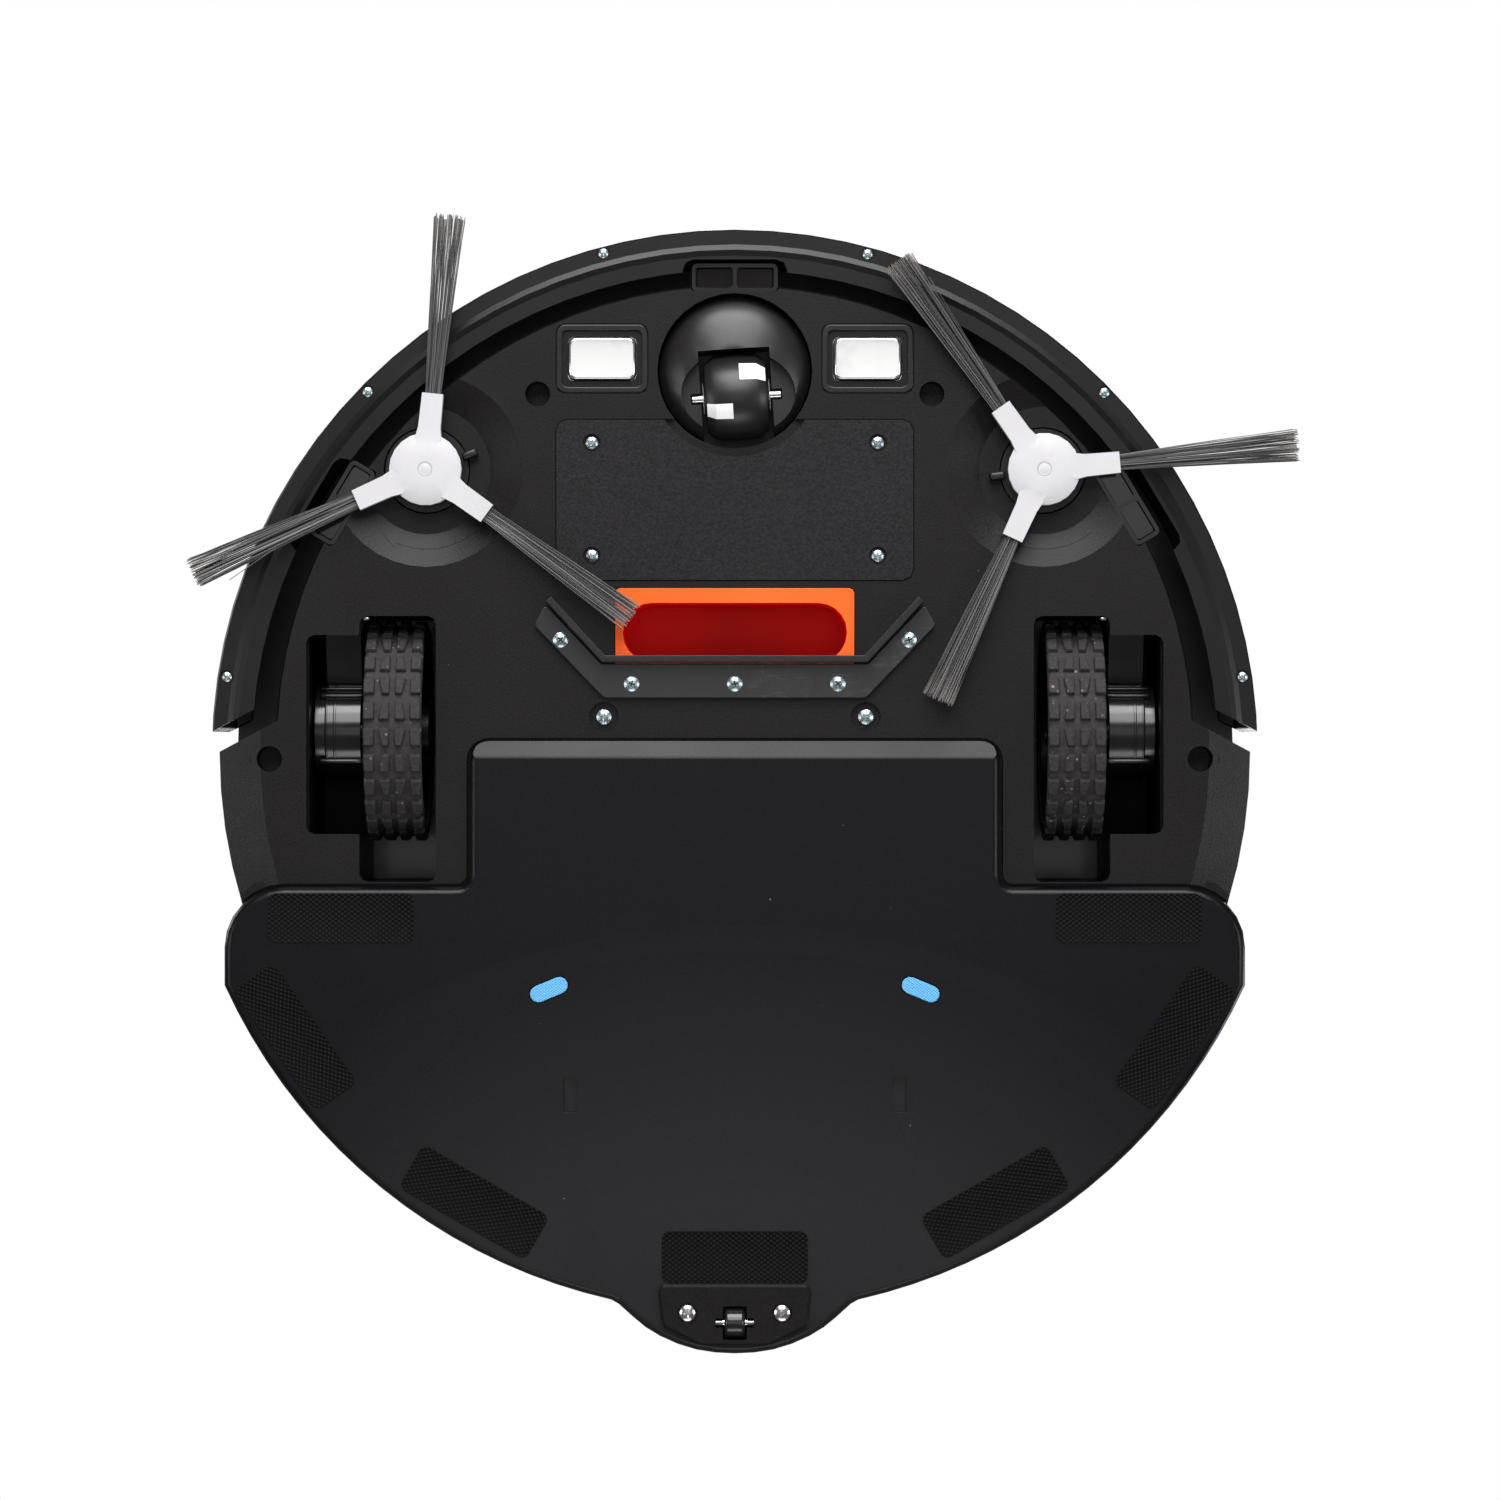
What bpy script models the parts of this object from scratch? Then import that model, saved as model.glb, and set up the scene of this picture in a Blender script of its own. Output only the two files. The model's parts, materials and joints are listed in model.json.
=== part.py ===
"""Robot vacuum with a slide-in mop module.

Lengths below are millimetres measured from the centre of the round body, with the floor at z = 0,
+Z up, the front of the robot facing -Y and the mop module at +Y. The whole model hangs on one empty
that puts the origin at the middle of the footprint.
"""
import math

import bmesh
import bpy
from mathutils import Matrix, Vector

MM = 0.001

# ---- driving dimensions -------------------------------------------------------------------------
GAP = 0.3                    # clearance between neighbouring pieces
RUNNING = 0.05               # radial clearance of a shaft in its bore
WALL = 2.5                   # shell thickness

BODY_RADIUS = 172.0          # rear wall and roof
BUMPER_RADIUS = BODY_RADIUS + 3.0
BUMPER_TRAVEL = 4.0
UNDERSIDE_Z = 10.0           # ground clearance of the flat underside
SPLIT_Z = 30.0               # seam between bottom and top cover
ROOF_Z = 80.0
ROOF_THICKNESS = 2.7
BUMPER_TOP_Z = ROOF_Z - 6.4
CHASSIS_FRONT_RADIUS = BODY_RADIUS - 18.9
CHASSIS_FRONT_SHIFT = -2.9   # centre of the chassis' front arc along Y
SHOULDER_X = BODY_RADIUS - 19.6           # inner end of the slanted shoulder behind the bumper
SHOULDER_Y = -10.5
SHOULDER_SLOPE = 0.52

BUMPER_RIM_RADIUS = BODY_RADIUS - 11.0    # inner edge of the bumper's bottom rim
BUMPER_RIM_Z = 12.0
BUMPER_RIM_THICKNESS = 2.2
BEAD_RADIUS = BODY_RADIUS - 4.4
CLIFF_LENGTH = 28.6
CLIFF_WIDTH = 9.4
CLIFF_NOTCH_RADIUS = BODY_RADIUS - 7.6
CLIFFS = {                   # distance from the middle, bearing and heading
    "front": (BODY_RADIUS - 13.4, 0.0, 0.0),
    "left": (BODY_RADIUS - 16.7, -57.5, -59.0),
    "right": (BODY_RADIUS - 16.7, 57.5, 59.0),
}

TYRE_RADIUS = 37.0
TYRE_WIDTH = 20.0
TYRE_OUTER_X = 123.6         # outer face of the tyre; a wider tyre grows inwards
TYRE_X = TYRE_OUTER_X - TYRE_WIDTH / 2   # middle of the tyre
WHEEL_Y = -7.3
HUB_RADIUS = 30.0
AXLE_RADIUS = 4.0
PIVOT_Y = -47.5              # suspension pivot
PIVOT_Z = 26.0
PIVOT_RADIUS = 2.5
GEARBOX_RADIUS = 16.5
ARM_INNER_X = TYRE_OUTER_X + 1.8
ARM_STEP_X = ARM_INNER_X + 12.0
ARM_OUTER_X = ARM_STEP_X + 3.6

CASTER_Y = -127.2
SOCKET_RADIUS = 25.8
CASTER_RADIUS = 14.6
FORK_TOP_Z = 2 * CASTER_RADIUS + 2.6
CASTER_WIDTH = 22.0
CASTER_TRAIL = SOCKET_RADIUS - CASTER_RADIUS - 2.7
CASTER_TURN = -3.8           # degrees about +Z
CASTER_AXLE_RADIUS = 1.5
STEM_RADIUS = 4.0

BRUSH_X = 102.7
BRUSH_Y = -94.1
BRUSH_HUB_RADIUS = 12.0
BRUSH_ARM_REACH = 25.2
BRISTLE_REACH = 85.2
BRUSH_TURNS = {"left": -84.3, "right": -5.2}
DISH_RADIUS = 32.3
MOTOR_RADIUS = 14.2

BATTERY_COVER = (59.4, -110.8, -57.5)     # half width, front edge, rear edge
BATTERY_SCREWS = ((47.6, -103.1), (47.6, -65.5))
INLET = (39.8, -54.8, -28.0)
INLET_MOUTH = (37.3, -49.8, -30.2)
# tyre opening: inner and outer side, front and rear
WELL = (TYRE_OUTER_X - TYRE_WIDTH - 4.1, TYRE_OUTER_X + 1.4, -45.5, 43.1)
GEAR_WELL = (ARM_OUTER_X + 1.7, -39.2, 27.1)   # gearbox opening: outer side, front and rear
SIDE_HOLE = (155.0, 2.1)
DOWEL_HOLE = (65.6, -119.4)
CONTACT_X = 44.2
CONTACT_Y = -131.2
CONTACT_SIZE = (22.4, 14.2)
BASE_SCREW = (43.6, -11.9)

MOP_RADIUS = BODY_RADIUS + 14.4
MOP_SIDE_X = MOP_RADIUS - 16.8
MOP_FRONT_Y = 44.6
MOP_TONGUE_X = 88.3
MOP_TONGUE_Y = -3.9
MOP_Z = 5.0
MOP_TOP_Z = 12.6
TAIL_END_Y = MOP_RADIUS + 13.3
MOP_TRAVEL_GAP = 1.0
TANK_X = 81.0
TANK_TOP_Z = 37.4
ROLLER_Y = TAIL_END_Y - 10.6
ROLLER_RADIUS = 5.0
ROLLER_WIDTH = 6.8
TAIL_SCREW = (15.7, TAIL_END_Y - 13.8)
WICK = (61.7, 78.7, 22.5)

BOX_X = 59.5                 # dust box
BOX_FRONT_Y = -21.5
BOX_Z = (42.2, ROOF_Z - 6.0)
TURRET_Y = 30.0
TURRET_RADIUS = 44.0
TURRET_TOP_Z = ROOF_Z + 17.0
BUTTON_Y = -134.0
BUTTON_RADIUS = 6.0

SIDES = {"left": -1, "right": 1}


# ---- materials ----------------------------------------------------------------------------------
def material(name, colour, roughness, metallic=0.0):
    made = bpy.data.materials.new(name)
    made.use_nodes = True
    shader = made.node_tree.nodes["Principled BSDF"]
    shader.inputs["Base Color"].default_value = (*colour, 1.0)
    shader.inputs["Roughness"].default_value = roughness
    shader.inputs["Metallic"].default_value = metallic
    made.diffuse_color = (*colour, 1.0)
    return made


def palette():
    return {
        "shell": material("shell", (0.030, 0.028, 0.027), 0.62),
        "gloss": material("gloss", (0.012, 0.012, 0.013), 0.18),
        "scraper": material("scraper", (0.016, 0.016, 0.017), 0.30),
        "rubber": material("rubber", (0.022, 0.021, 0.021), 0.75),
        "tyre": material("tyre", (0.060, 0.058, 0.057), 0.85),
        "steel": material("steel", (0.62, 0.61, 0.60), 0.28, 1.0),
        "chrome": material("chrome", (0.86, 0.86, 0.88), 0.12, 1.0),
        "white": material("white", (0.83, 0.86, 0.92), 0.42),
        "bristle": material("bristle", (0.55, 0.55, 0.57), 0.70),
        "orange": material("orange", (0.90, 0.115, 0.012), 0.40),
        "mop": material("mop", (0.016, 0.018, 0.024), 0.45),
        "wick": material("wick", (0.12, 0.45, 0.80), 0.85),
        "lens": material("lens", (0.010, 0.008, 0.009), 0.08),
        "smoke": material("smoke", (0.030, 0.034, 0.042), 0.20),
        "board": material("board", (0.016, 0.120, 0.045), 0.45),
        "battery": material("battery", (0.030, 0.080, 0.240), 0.50),
        "filter": material("filter", (0.78, 0.79, 0.77), 0.90),
    }


# ---- outlines -----------------------------------------------------------------------------------
def arc(cx, cy, radius, start, end, steps):
    """Points on a circle between two angles in degrees, both ends included."""
    points = []
    for i in range(steps + 1):
        a = math.radians(start + (end - start) * i / steps)
        points.append((cx + radius * math.cos(a), cy + radius * math.sin(a)))
    return points


def rounded(corners, steps=3):
    """Polygon with each (x, y, radius) corner rounded, given counter-clockwise."""
    points = []
    count = len(corners)
    for i, (x, y, radius) in enumerate(corners):
        here = Vector((x, y))
        before = (Vector(corners[i - 1][:2]) - here).normalized()
        after = (Vector(corners[(i + 1) % count][:2]) - here).normalized()
        if radius <= 0:
            points.append((x, y))
            continue
        half = before.angle(after) / 2
        centre = here + (before + after).normalized() * (radius / math.sin(half))
        first = here + before * (radius / math.tan(half)) - centre
        last = here + after * (radius / math.tan(half)) - centre
        turn = first.angle_signed(last)
        for k in range(steps + 1):
            spoke = first.copy()
            spoke.rotate(Matrix.Rotation(-turn * k / steps, 2))
            points.append(tuple(centre + spoke))
    return points


def rectangle(x0, x1, y0, y1, radius=0.0, steps=2):
    return rounded([(x0, y0, radius), (x1, y0, radius), (x1, y1, radius), (x0, y1, radius)], steps)


def turned(points, degrees, cx=0.0, cy=0.0):
    """Points turned about the origin, then moved to (cx, cy)."""
    c = math.cos(math.radians(degrees))
    s = math.sin(math.radians(degrees))
    return [(cx + x * c - y * s, cy + x * s + y * c) for x, y in points]


def mirrored(points):
    """Points mirrored across the middle plane, order kept counter-clockwise."""
    return [(-x, y) for x, y in reversed(points)]


def sided(points, sign):
    return points if sign > 0 else mirrored(points)


def inset(points, distance):
    """Counter-clockwise polygon moved inwards by a distance (outwards if negative)."""
    result = []
    count = len(points)
    for i in range(count):
        here = Vector(points[i])
        a = (here - Vector(points[i - 1])).normalized()
        b = (Vector(points[(i + 1) % count]) - here).normalized()
        na = Vector((-a.y, a.x))
        nb = Vector((-b.y, b.x))
        direction = (na + nb).normalized()
        result.append(tuple(here + direction * (distance / max(direction.dot(na), 0.3))))
    return result


def body_outline(front_radius, rear_radius, shoulder_offset=0.0):
    """Chassis plan: a smaller arc in front, slanted shoulders, and a larger arc behind."""
    base_x = SHOULDER_X
    base_y = SHOULDER_Y + shoulder_offset

    def on_shoulder(radius, cy):
        low, high = base_x - 20, base_x + 40
        for _ in range(60):
            mid = (low + high) / 2
            y = base_y + (mid - base_x) * SHOULDER_SLOPE
            if math.hypot(mid, y - cy) < radius:
                low = mid
            else:
                high = mid
        return low, base_y + (low - base_x) * SHOULDER_SLOPE

    inner = on_shoulder(front_radius, CHASSIS_FRONT_SHIFT)
    outer = on_shoulder(rear_radius, 0.0)
    a_front = math.degrees(math.atan2(inner[1] - CHASSIS_FRONT_SHIFT, inner[0]))
    a_rear = math.degrees(math.atan2(outer[1], outer[0]))
    front = arc(0, CHASSIS_FRONT_SHIFT, front_radius, -180 - a_front, a_front, 42)
    rear = arc(0, 0, rear_radius, a_rear, 180 - a_rear, 42)
    return front + rear


def mop_outline(tail=True):
    """Plan of the mop plate: tongue in front, two wings, a rear arc and the tail."""
    radius = MOP_RADIUS
    meet_y = math.sqrt(radius**2 - MOP_SIDE_X**2)
    start = math.degrees(math.asin(meet_y / radius))
    corners = [
        (-MOP_TONGUE_X, MOP_TONGUE_Y, 6.6),
        (MOP_TONGUE_X, MOP_TONGUE_Y, 6.6),
        (MOP_TONGUE_X, MOP_FRONT_Y, 4.0),
        (MOP_SIDE_X, MOP_FRONT_Y, 20.0),
        (MOP_SIDE_X, meet_y, 0),
        (-MOP_SIDE_X, meet_y, 0),
        (-MOP_SIDE_X, MOP_FRONT_Y, 20.0),
        (-MOP_TONGUE_X, MOP_FRONT_Y, 4.0),
    ]
    front = rounded(corners, 6)
    cut = front.index((MOP_SIDE_X, meet_y))
    if not tail:
        rear = arc(0, 0, radius, start, 180 - start, 30)
    else:
        # the arc runs into each side of the tail through a hollow curve
        a = math.degrees(math.acos(41.0 / radius))
        side = arc(0, 0, radius, start, a, 18)
        curve = ((38.6, 16.5), (36.6, 14.7), (33.6, 12.0), (29.6, 8.7), (24.8, 5.8), (19.0, 3.2))
        curve += ((12.8, 1.3), (6.4, 0.3))
        side += [(x, TAIL_END_Y - back) for x, back in curve]
        rear = side + [(0.0, TAIL_END_Y)] + [(-x, y) for x, y in reversed(side)]
    return front[:cut] + rear + front[cut + 2 :]


# ---- solids -------------------------------------------------------------------------------------
def loft(bm, loops, cap_start=True, cap_end=True):
    """Skin between loops of equal length; each loop is a list of 3-D points."""
    rings = [[bm.verts.new(Vector(p) * MM) for p in loop] for loop in loops]
    count = len(rings[0])
    for lower, upper in zip(rings, rings[1:]):
        for i in range(count):
            j = (i + 1) % count
            bm.faces.new((lower[i], lower[j], upper[j], upper[i]))
    if cap_start:
        bm.faces.new(list(reversed(rings[0])))
    if cap_end:
        bm.faces.new(rings[-1])
    return rings


def at_height(points, z):
    return [(x, y, z) for x, y in points]


def prism(bm, outline, z0, z1):
    loft(bm, [at_height(outline, z0), at_height(outline, z1)])


def cylinder(bm, cx, cy, radius, z0, z1, steps=20):
    prism(bm, arc(cx, cy, radius, 0, 360 - 360 / steps, steps - 1), z0, z1)


def lathe(bm, profile, steps=28, place=Matrix.Identity(4)):
    """Turned solid about Z from a closed (radius, z) profile; radius 0 marks the axis."""
    columns = []
    for k in range(steps):
        a = 2 * math.pi * k / steps
        columns.append([(r * math.cos(a), r * math.sin(a), z) for r, z in profile])
    poles = {}
    rings = []
    for column in columns:
        ring = []
        for (r, z), point in zip(profile, column):
            if r <= 1e-9:
                if (r, z) not in poles:
                    poles[(r, z)] = bm.verts.new(place @ (Vector(point) * MM))
                ring.append(poles[(r, z)])
            else:
                ring.append(bm.verts.new(place @ (Vector(point) * MM)))
        rings.append(ring)
    size = len(profile)
    for k in range(steps):
        here, after = rings[k], rings[(k + 1) % steps]
        for i in range(size):
            j = (i + 1) % size
            corners = [here[i], after[i], after[j], here[j]]
            face = []
            for vert in corners:
                if vert not in face:
                    face.append(vert)
            if len(face) > 2:
                bm.faces.new(face)


def along_x(x, y, z):
    """Placement that lays a turned solid's axis along +X."""
    return Matrix.Translation(Vector((x, y, z)) * MM) @ Matrix.Rotation(math.pi / 2, 4, "Y")


def upright(x, y, z=0.0):
    return Matrix.Translation(Vector((x, y, z)) * MM)


def side_prism(bm, outline_yz, x0, x1):
    """Prism along X from an outline in the Y-Z plane."""
    low, high = min(x0, x1), max(x0, x1)
    loft(bm, [[(low, y, z) for y, z in outline_yz], [(high, y, z) for y, z in outline_yz]])


def hull_outline(a, ra, b, rb, steps=14):
    """Outline around two circles of different radius, in the plane of their centres."""
    ax, ay = a
    bx, by = b
    run = math.hypot(bx - ax, by - ay)
    heading = math.degrees(math.atan2(by - ay, bx - ax))
    lean = math.degrees(math.acos((ra - rb) / run))
    first = arc(ax, ay, ra, heading + lean, heading + 360 - lean, steps)
    second = arc(bx, by, rb, heading - lean, heading + lean, steps)
    return first + second


def make(name, bm, surface, parent, smooth=35.0):
    bmesh.ops.recalc_face_normals(bm, faces=bm.faces)
    mesh = bpy.data.meshes.new(name)
    bm.to_mesh(mesh)
    bm.free()
    piece = bpy.data.objects.new(name, mesh)
    bpy.context.scene.collection.objects.link(piece)
    mesh.materials.append(surface)
    mesh.shade_smooth()
    mesh.set_sharp_from_angle(angle=math.radians(smooth))
    piece.parent = parent
    return piece


def tool(target, name, bm, operation="DIFFERENCE"):
    """Boolean the shape in bm with the target; the shape stays as a hidden wire guide."""
    bmesh.ops.recalc_face_normals(bm, faces=bm.faces)
    mesh = bpy.data.meshes.new(name)
    bm.to_mesh(mesh)
    bm.free()
    guide = bpy.data.objects.new(name, mesh)
    bpy.context.scene.collection.objects.link(guide)
    guide.parent = target.parent
    guide.hide_render = True
    guide.display_type = "WIRE"
    step = target.modifiers.new(name, "BOOLEAN")
    step.operation = operation
    step.solver = "EXACT"
    step.object = guide
    return guide


def bore(radius, steps):
    """Radius of a faceted hole whose flats clear a round shaft by the running clearance."""
    return (radius + RUNNING) / math.cos(math.pi / steps)


def pull_inside(points, radius, cy):
    """Points outside a circle moved radially onto it."""
    result = []
    for x, y in points:
        away = math.hypot(x, y - cy)
        if away > radius:
            x, y = x * radius / away, cy + (y - cy) * radius / away
        result.append((x, y))
    return result


def screw(name, x, y, head_z, head_radius, head_height, shaft_radius, length, surface, parent):
    """Pan-head screw driven upwards: the head's face is at head_z and the shaft points up."""
    bm = bmesh.new()
    slot = head_radius * 0.45
    lathe(
        bm,
        [
            (0, head_z + 0.45),
            (slot, head_z),
            (head_radius, head_z + head_height * 0.4),
            (head_radius, head_z + head_height),
            (shaft_radius, head_z + head_height),
            (shaft_radius, head_z + head_height + length),
            (0, head_z + head_height + length),
        ],
        10,
        upright(x, y),
    )
    return make(name, bm, surface, parent)


def clear_scene():
    for thing in list(bpy.data.objects):
        bpy.data.objects.remove(thing, do_unlink=True)


def footprint_middle():
    """Middle of the whole footprint, bristles and tail included."""
    left = BRUSH_TURNS["left"]
    right = BRUSH_TURNS["right"]
    reach = [BRISTLE_REACH * math.cos(math.radians(right + 120 * k)) for k in range(3)]
    far_right = BRUSH_X + max(reach)
    reach = [BRISTLE_REACH * math.cos(math.radians(left + 120 * k)) for k in range(3)]
    far_left = -BRUSH_X + min(reach)
    reach = [BRISTLE_REACH * math.sin(math.radians(left + 120 * k)) for k in range(3)]
    front = min(BRUSH_Y + min(reach), -BUMPER_RADIUS)
    return (far_left + far_right) / 2, (front + TAIL_END_Y) / 2


# ---- covers -------------------------------------------------------------------------------------
def bottom_cover(colours, frame):
    rear_steps = (
        (UNDERSIDE_Z, BODY_RADIUS - 14.0),
        (UNDERSIDE_Z + 3.0, BODY_RADIUS - 4.5),
        (UNDERSIDE_Z + 4.5, BODY_RADIUS),
        (SPLIT_Z, BODY_RADIUS),
    )
    outer = []
    for i, (z, rear) in enumerate(rear_steps):
        front = CHASSIS_FRONT_RADIUS - (0.8 if i == 0 else 0.0)
        outer.append(at_height(body_outline(front, rear), z))
    inner_low = body_outline(CHASSIS_FRONT_RADIUS - WALL, BODY_RADIUS - 13.0, WALL * 1.1)
    inner_high = body_outline(CHASSIS_FRONT_RADIUS - WALL, BODY_RADIUS - WALL, WALL * 1.1)
    inner = [
        at_height(inner_high, SPLIT_Z),
        at_height(inner_high, UNDERSIDE_Z + 7.0),
        at_height(inner_low, UNDERSIDE_Z + WALL),
    ]
    bm = bmesh.new()
    loft(bm, outer + inner)
    cover = make("bottom_cover", bm, colours["shell"], frame)

    # thicker zones on the inside: battery ledge, brush dishes, screw and dowel bosses, blocks
    bm = bmesh.new()
    half, front, rear = BATTERY_COVER
    prism(bm, rectangle(-half - 3, half + 3, front - 2.8, rear + 2.8, 4), UNDERSIDE_Z + 1, 15.2)
    for sign in SIDES.values():
        cylinder(bm, sign * BASE_SCREW[0], BASE_SCREW[1], 6.6, UNDERSIDE_Z + 1, 20.0, 12)
        cylinder(bm, sign * SIDE_HOLE[0], SIDE_HOLE[1], 6.6, UNDERSIDE_Z + 1, 24.0, 12)
        cylinder(bm, sign * DOWEL_HOLE[0], DOWEL_HOLE[1], 6.2, UNDERSIDE_Z + 1, 22.0, 12)
    tool(cover, "bottom_bosses", bm, "UNION")
    bm = bmesh.new()
    for sign in SIDES.values():
        disc = arc(sign * BRUSH_X, BRUSH_Y, DISH_RADIUS + 2.4, 0, 350, 35)
        disc = pull_inside(disc, CHASSIS_FRONT_RADIUS - 1.2, CHASSIS_FRONT_SHIFT)
        prism(bm, disc, UNDERSIDE_Z + 1, 18.0)
    tool(cover, "brush_bosses", bm, "UNION")

    bm = bmesh.new()
    cylinder(bm, 0, CASTER_Y, SOCKET_RADIUS + WALL, UNDERSIDE_Z + 1, FORK_TOP_Z + 4.7, 36)
    region = pull_inside(inset(mop_outline(tail=False), -MOP_TRAVEL_GAP - WALL), BODY_RADIUS - 0.4, 0)
    prism(bm, region, UNDERSIDE_Z + 1.5, 16.5)
    tool(cover, "socket_and_mop_deck", bm, "UNION")

    bm = bmesh.new()
    tunnel = TANK_X + 1 + WALL
    lean = math.degrees(math.acos((tunnel - 1.4) / (BODY_RADIUS - 0.6)))
    back = arc(0, 0, BODY_RADIUS - 0.6, lean, 180 - lean, 14)
    prism(bm, [(-tunnel, -2.5), (tunnel, -2.5)] + back, 15.0, TANK_TOP_Z + 3.1)
    tool(cover, "tank_tunnel", bm, "UNION")

    # recesses and holes seen from below
    bm = bmesh.new()
    prism(bm, inset(mop_outline(tail=False), -MOP_TRAVEL_GAP), 0, 14.0)
    cylinder(bm, 0, CASTER_Y, SOCKET_RADIUS, 0, FORK_TOP_Z + 1.2, 36)
    for sign in SIDES.values():
        cylinder(bm, sign * BASE_SCREW[0], BASE_SCREW[1], 5.0, 5, 12.0, 20)
        cylinder(bm, sign * SIDE_HOLE[0], SIDE_HOLE[1], 4.3, 5, 22.0, 20)
        cylinder(bm, sign * DOWEL_HOLE[0], DOWEL_HOLE[1], 4.2, 5, 20.0, 20)
        near, far, front, rear = WELL
        side, gear_front, gear_rear = GEAR_WELL
        wheel_slot = [
            (near, front, 2.7),
            (far, front, 2.7),
            (far, gear_front, 0.5),
            (side, gear_front, 2.7),
            (side, gear_rear, 2.7),
            (far, gear_rear, 0.5),
            (far, rear, 2.7),
            (near, rear, 2.7),
        ]
        prism(bm, sided(rounded(wheel_slot, 2), sign), 5, 20.0)
        bezel = rectangle(-15.5, 15.5, -11.7, 11.7, 3.0)
        bezel = [(x + sign * CONTACT_X, y + CONTACT_Y) for x, y in bezel]
        prism(bm, bezel, 5, UNDERSIDE_Z + 0.8)
    tool(cover, "underside_recesses", bm)
    bm = bmesh.new()
    for sign in SIDES.values():
        dish = [
            (0, 5.0),
            (DISH_RADIUS + 8, 5.0),
            (DISH_RADIUS, UNDERSIDE_Z - 0.01),
            (DISH_RADIUS - 11, UNDERSIDE_Z + 3.4),
            (0, UNDERSIDE_Z + 3.4),
        ]
        lathe(bm, dish, 36, upright(sign * BRUSH_X, BRUSH_Y))
    tool(cover, "brush_dishes", bm)

    bm = bmesh.new()
    prism(bm, rectangle(-TANK_X - 1, TANK_X + 1, 0, BODY_RADIUS + 28), 0, TANK_TOP_Z + 0.6)
    half, front, rear = BATTERY_COVER
    lid = rectangle(-half - GAP, half + GAP, front - GAP, rear + GAP, 3.8)
    prism(bm, lid, 5, 12.4)
    inlet_half, inlet_front, inlet_rear = INLET
    prism(bm, rectangle(-inlet_half - GAP, inlet_half + GAP, inlet_front - GAP, inlet_rear + GAP, 2), 5, 20)
    cylinder(bm, 0, CASTER_Y, bore(STEM_RADIUS, 24), FORK_TOP_Z + 0.2, FORK_TOP_Z + 8.2, 24)
    for sign in SIDES.values():
        cylinder(bm, sign * BRUSH_X, BRUSH_Y, MOTOR_RADIUS + GAP, 5, 30, 28)
        cylinder(bm, sign * BASE_SCREW[0], BASE_SCREW[1], 1.6, 11, 18.5, 12)
        width, depth = CONTACT_SIZE
        hole = rectangle(-width / 2 - GAP, width / 2 + GAP, -depth / 2 - GAP, depth / 2 + GAP, 2.0)
        hole = [(x + sign * CONTACT_X, y + CONTACT_Y) for x, y in hole]
        prism(bm, hole, 5, 20)
    tool(cover, "underside_openings", bm)

    bm = bmesh.new()
    prism(bm, rectangle(-42, 42, -97.6, -60.4, 3), 10, 20)
    for sign in SIDES.values():
        for x, y in BATTERY_SCREWS:
            cylinder(bm, sign * x, y, 1.6, 10, 20, 10)
    for radius, where, heading in CLIFFS.values():
        cx = radius * math.sin(math.radians(where))
        cy = -radius * math.cos(math.radians(where))
        length, width = CLIFF_LENGTH / 2 + GAP, CLIFF_WIDTH / 2
        pocket = rectangle(-length, length, -width - 20, width + GAP, 1.0)
        prism(bm, turned(pocket, heading, cx, cy), 5, 27.4)
    tool(cover, "battery_and_sensor_openings", bm)
    return cover


def top_cover(colours, frame):
    low = SPLIT_Z + GAP
    eaves = BUMPER_TOP_Z + 1.6
    plan = body_outline(CHASSIS_FRONT_RADIUS, BODY_RADIUS)

    def roof(radius):
        spread = []
        for x, y in plan:
            away = math.hypot(x, y)
            spread.append((x * radius / away, y * radius / away))
        return spread

    inner = body_outline(CHASSIS_FRONT_RADIUS - WALL, BODY_RADIUS - WALL, WALL * 1.1)
    bm = bmesh.new()
    loft(
        bm,
        [
            at_height(inner, ROOF_Z - ROOF_THICKNESS),
            at_height(inner, low),
            at_height(plan, low),
            at_height(plan, eaves),
            at_height(roof(BODY_RADIUS), eaves + 0.01),
            at_height(roof(BODY_RADIUS), ROOF_Z - 1.5),
            at_height(roof(BODY_RADIUS - 0.5), ROOF_Z - 0.45),
            at_height(roof(BODY_RADIUS - 1.8), ROOF_Z),
        ],
    )
    cover = make("top_cover", bm, colours["shell"], frame)
    bm = bmesh.new()
    tunnel = TANK_X + 1 + WALL + GAP
    inside, outside = BODY_RADIUS - 52, BODY_RADIUS + 28
    prism(bm, rectangle(-tunnel, tunnel, inside, outside), 20, TANK_TOP_Z + 3.4)
    cylinder(bm, 0, CASTER_Y, SOCKET_RADIUS + WALL + 2 * GAP, 20, FORK_TOP_Z + 5.2, 36)
    cylinder(bm, 0, BUTTON_Y, BUTTON_RADIUS + GAP, ROOF_Z - 10, ROOF_Z + 10, 20)
    cylinder(bm, 0, TURRET_Y, bore(5, 20), ROOF_Z - 10, ROOF_Z + 10, 20)
    tool(cover, "tunnel_mouth_and_roof_holes", bm)
    bm = bmesh.new()
    prism(bm, rectangle(-BOX_X - 0.7, BOX_X + 0.7, inside, outside), TANK_TOP_Z + 2, BOX_Z[1] + 0.6)
    tool(cover, "dust_box_mouth", bm)
    return cover


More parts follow.
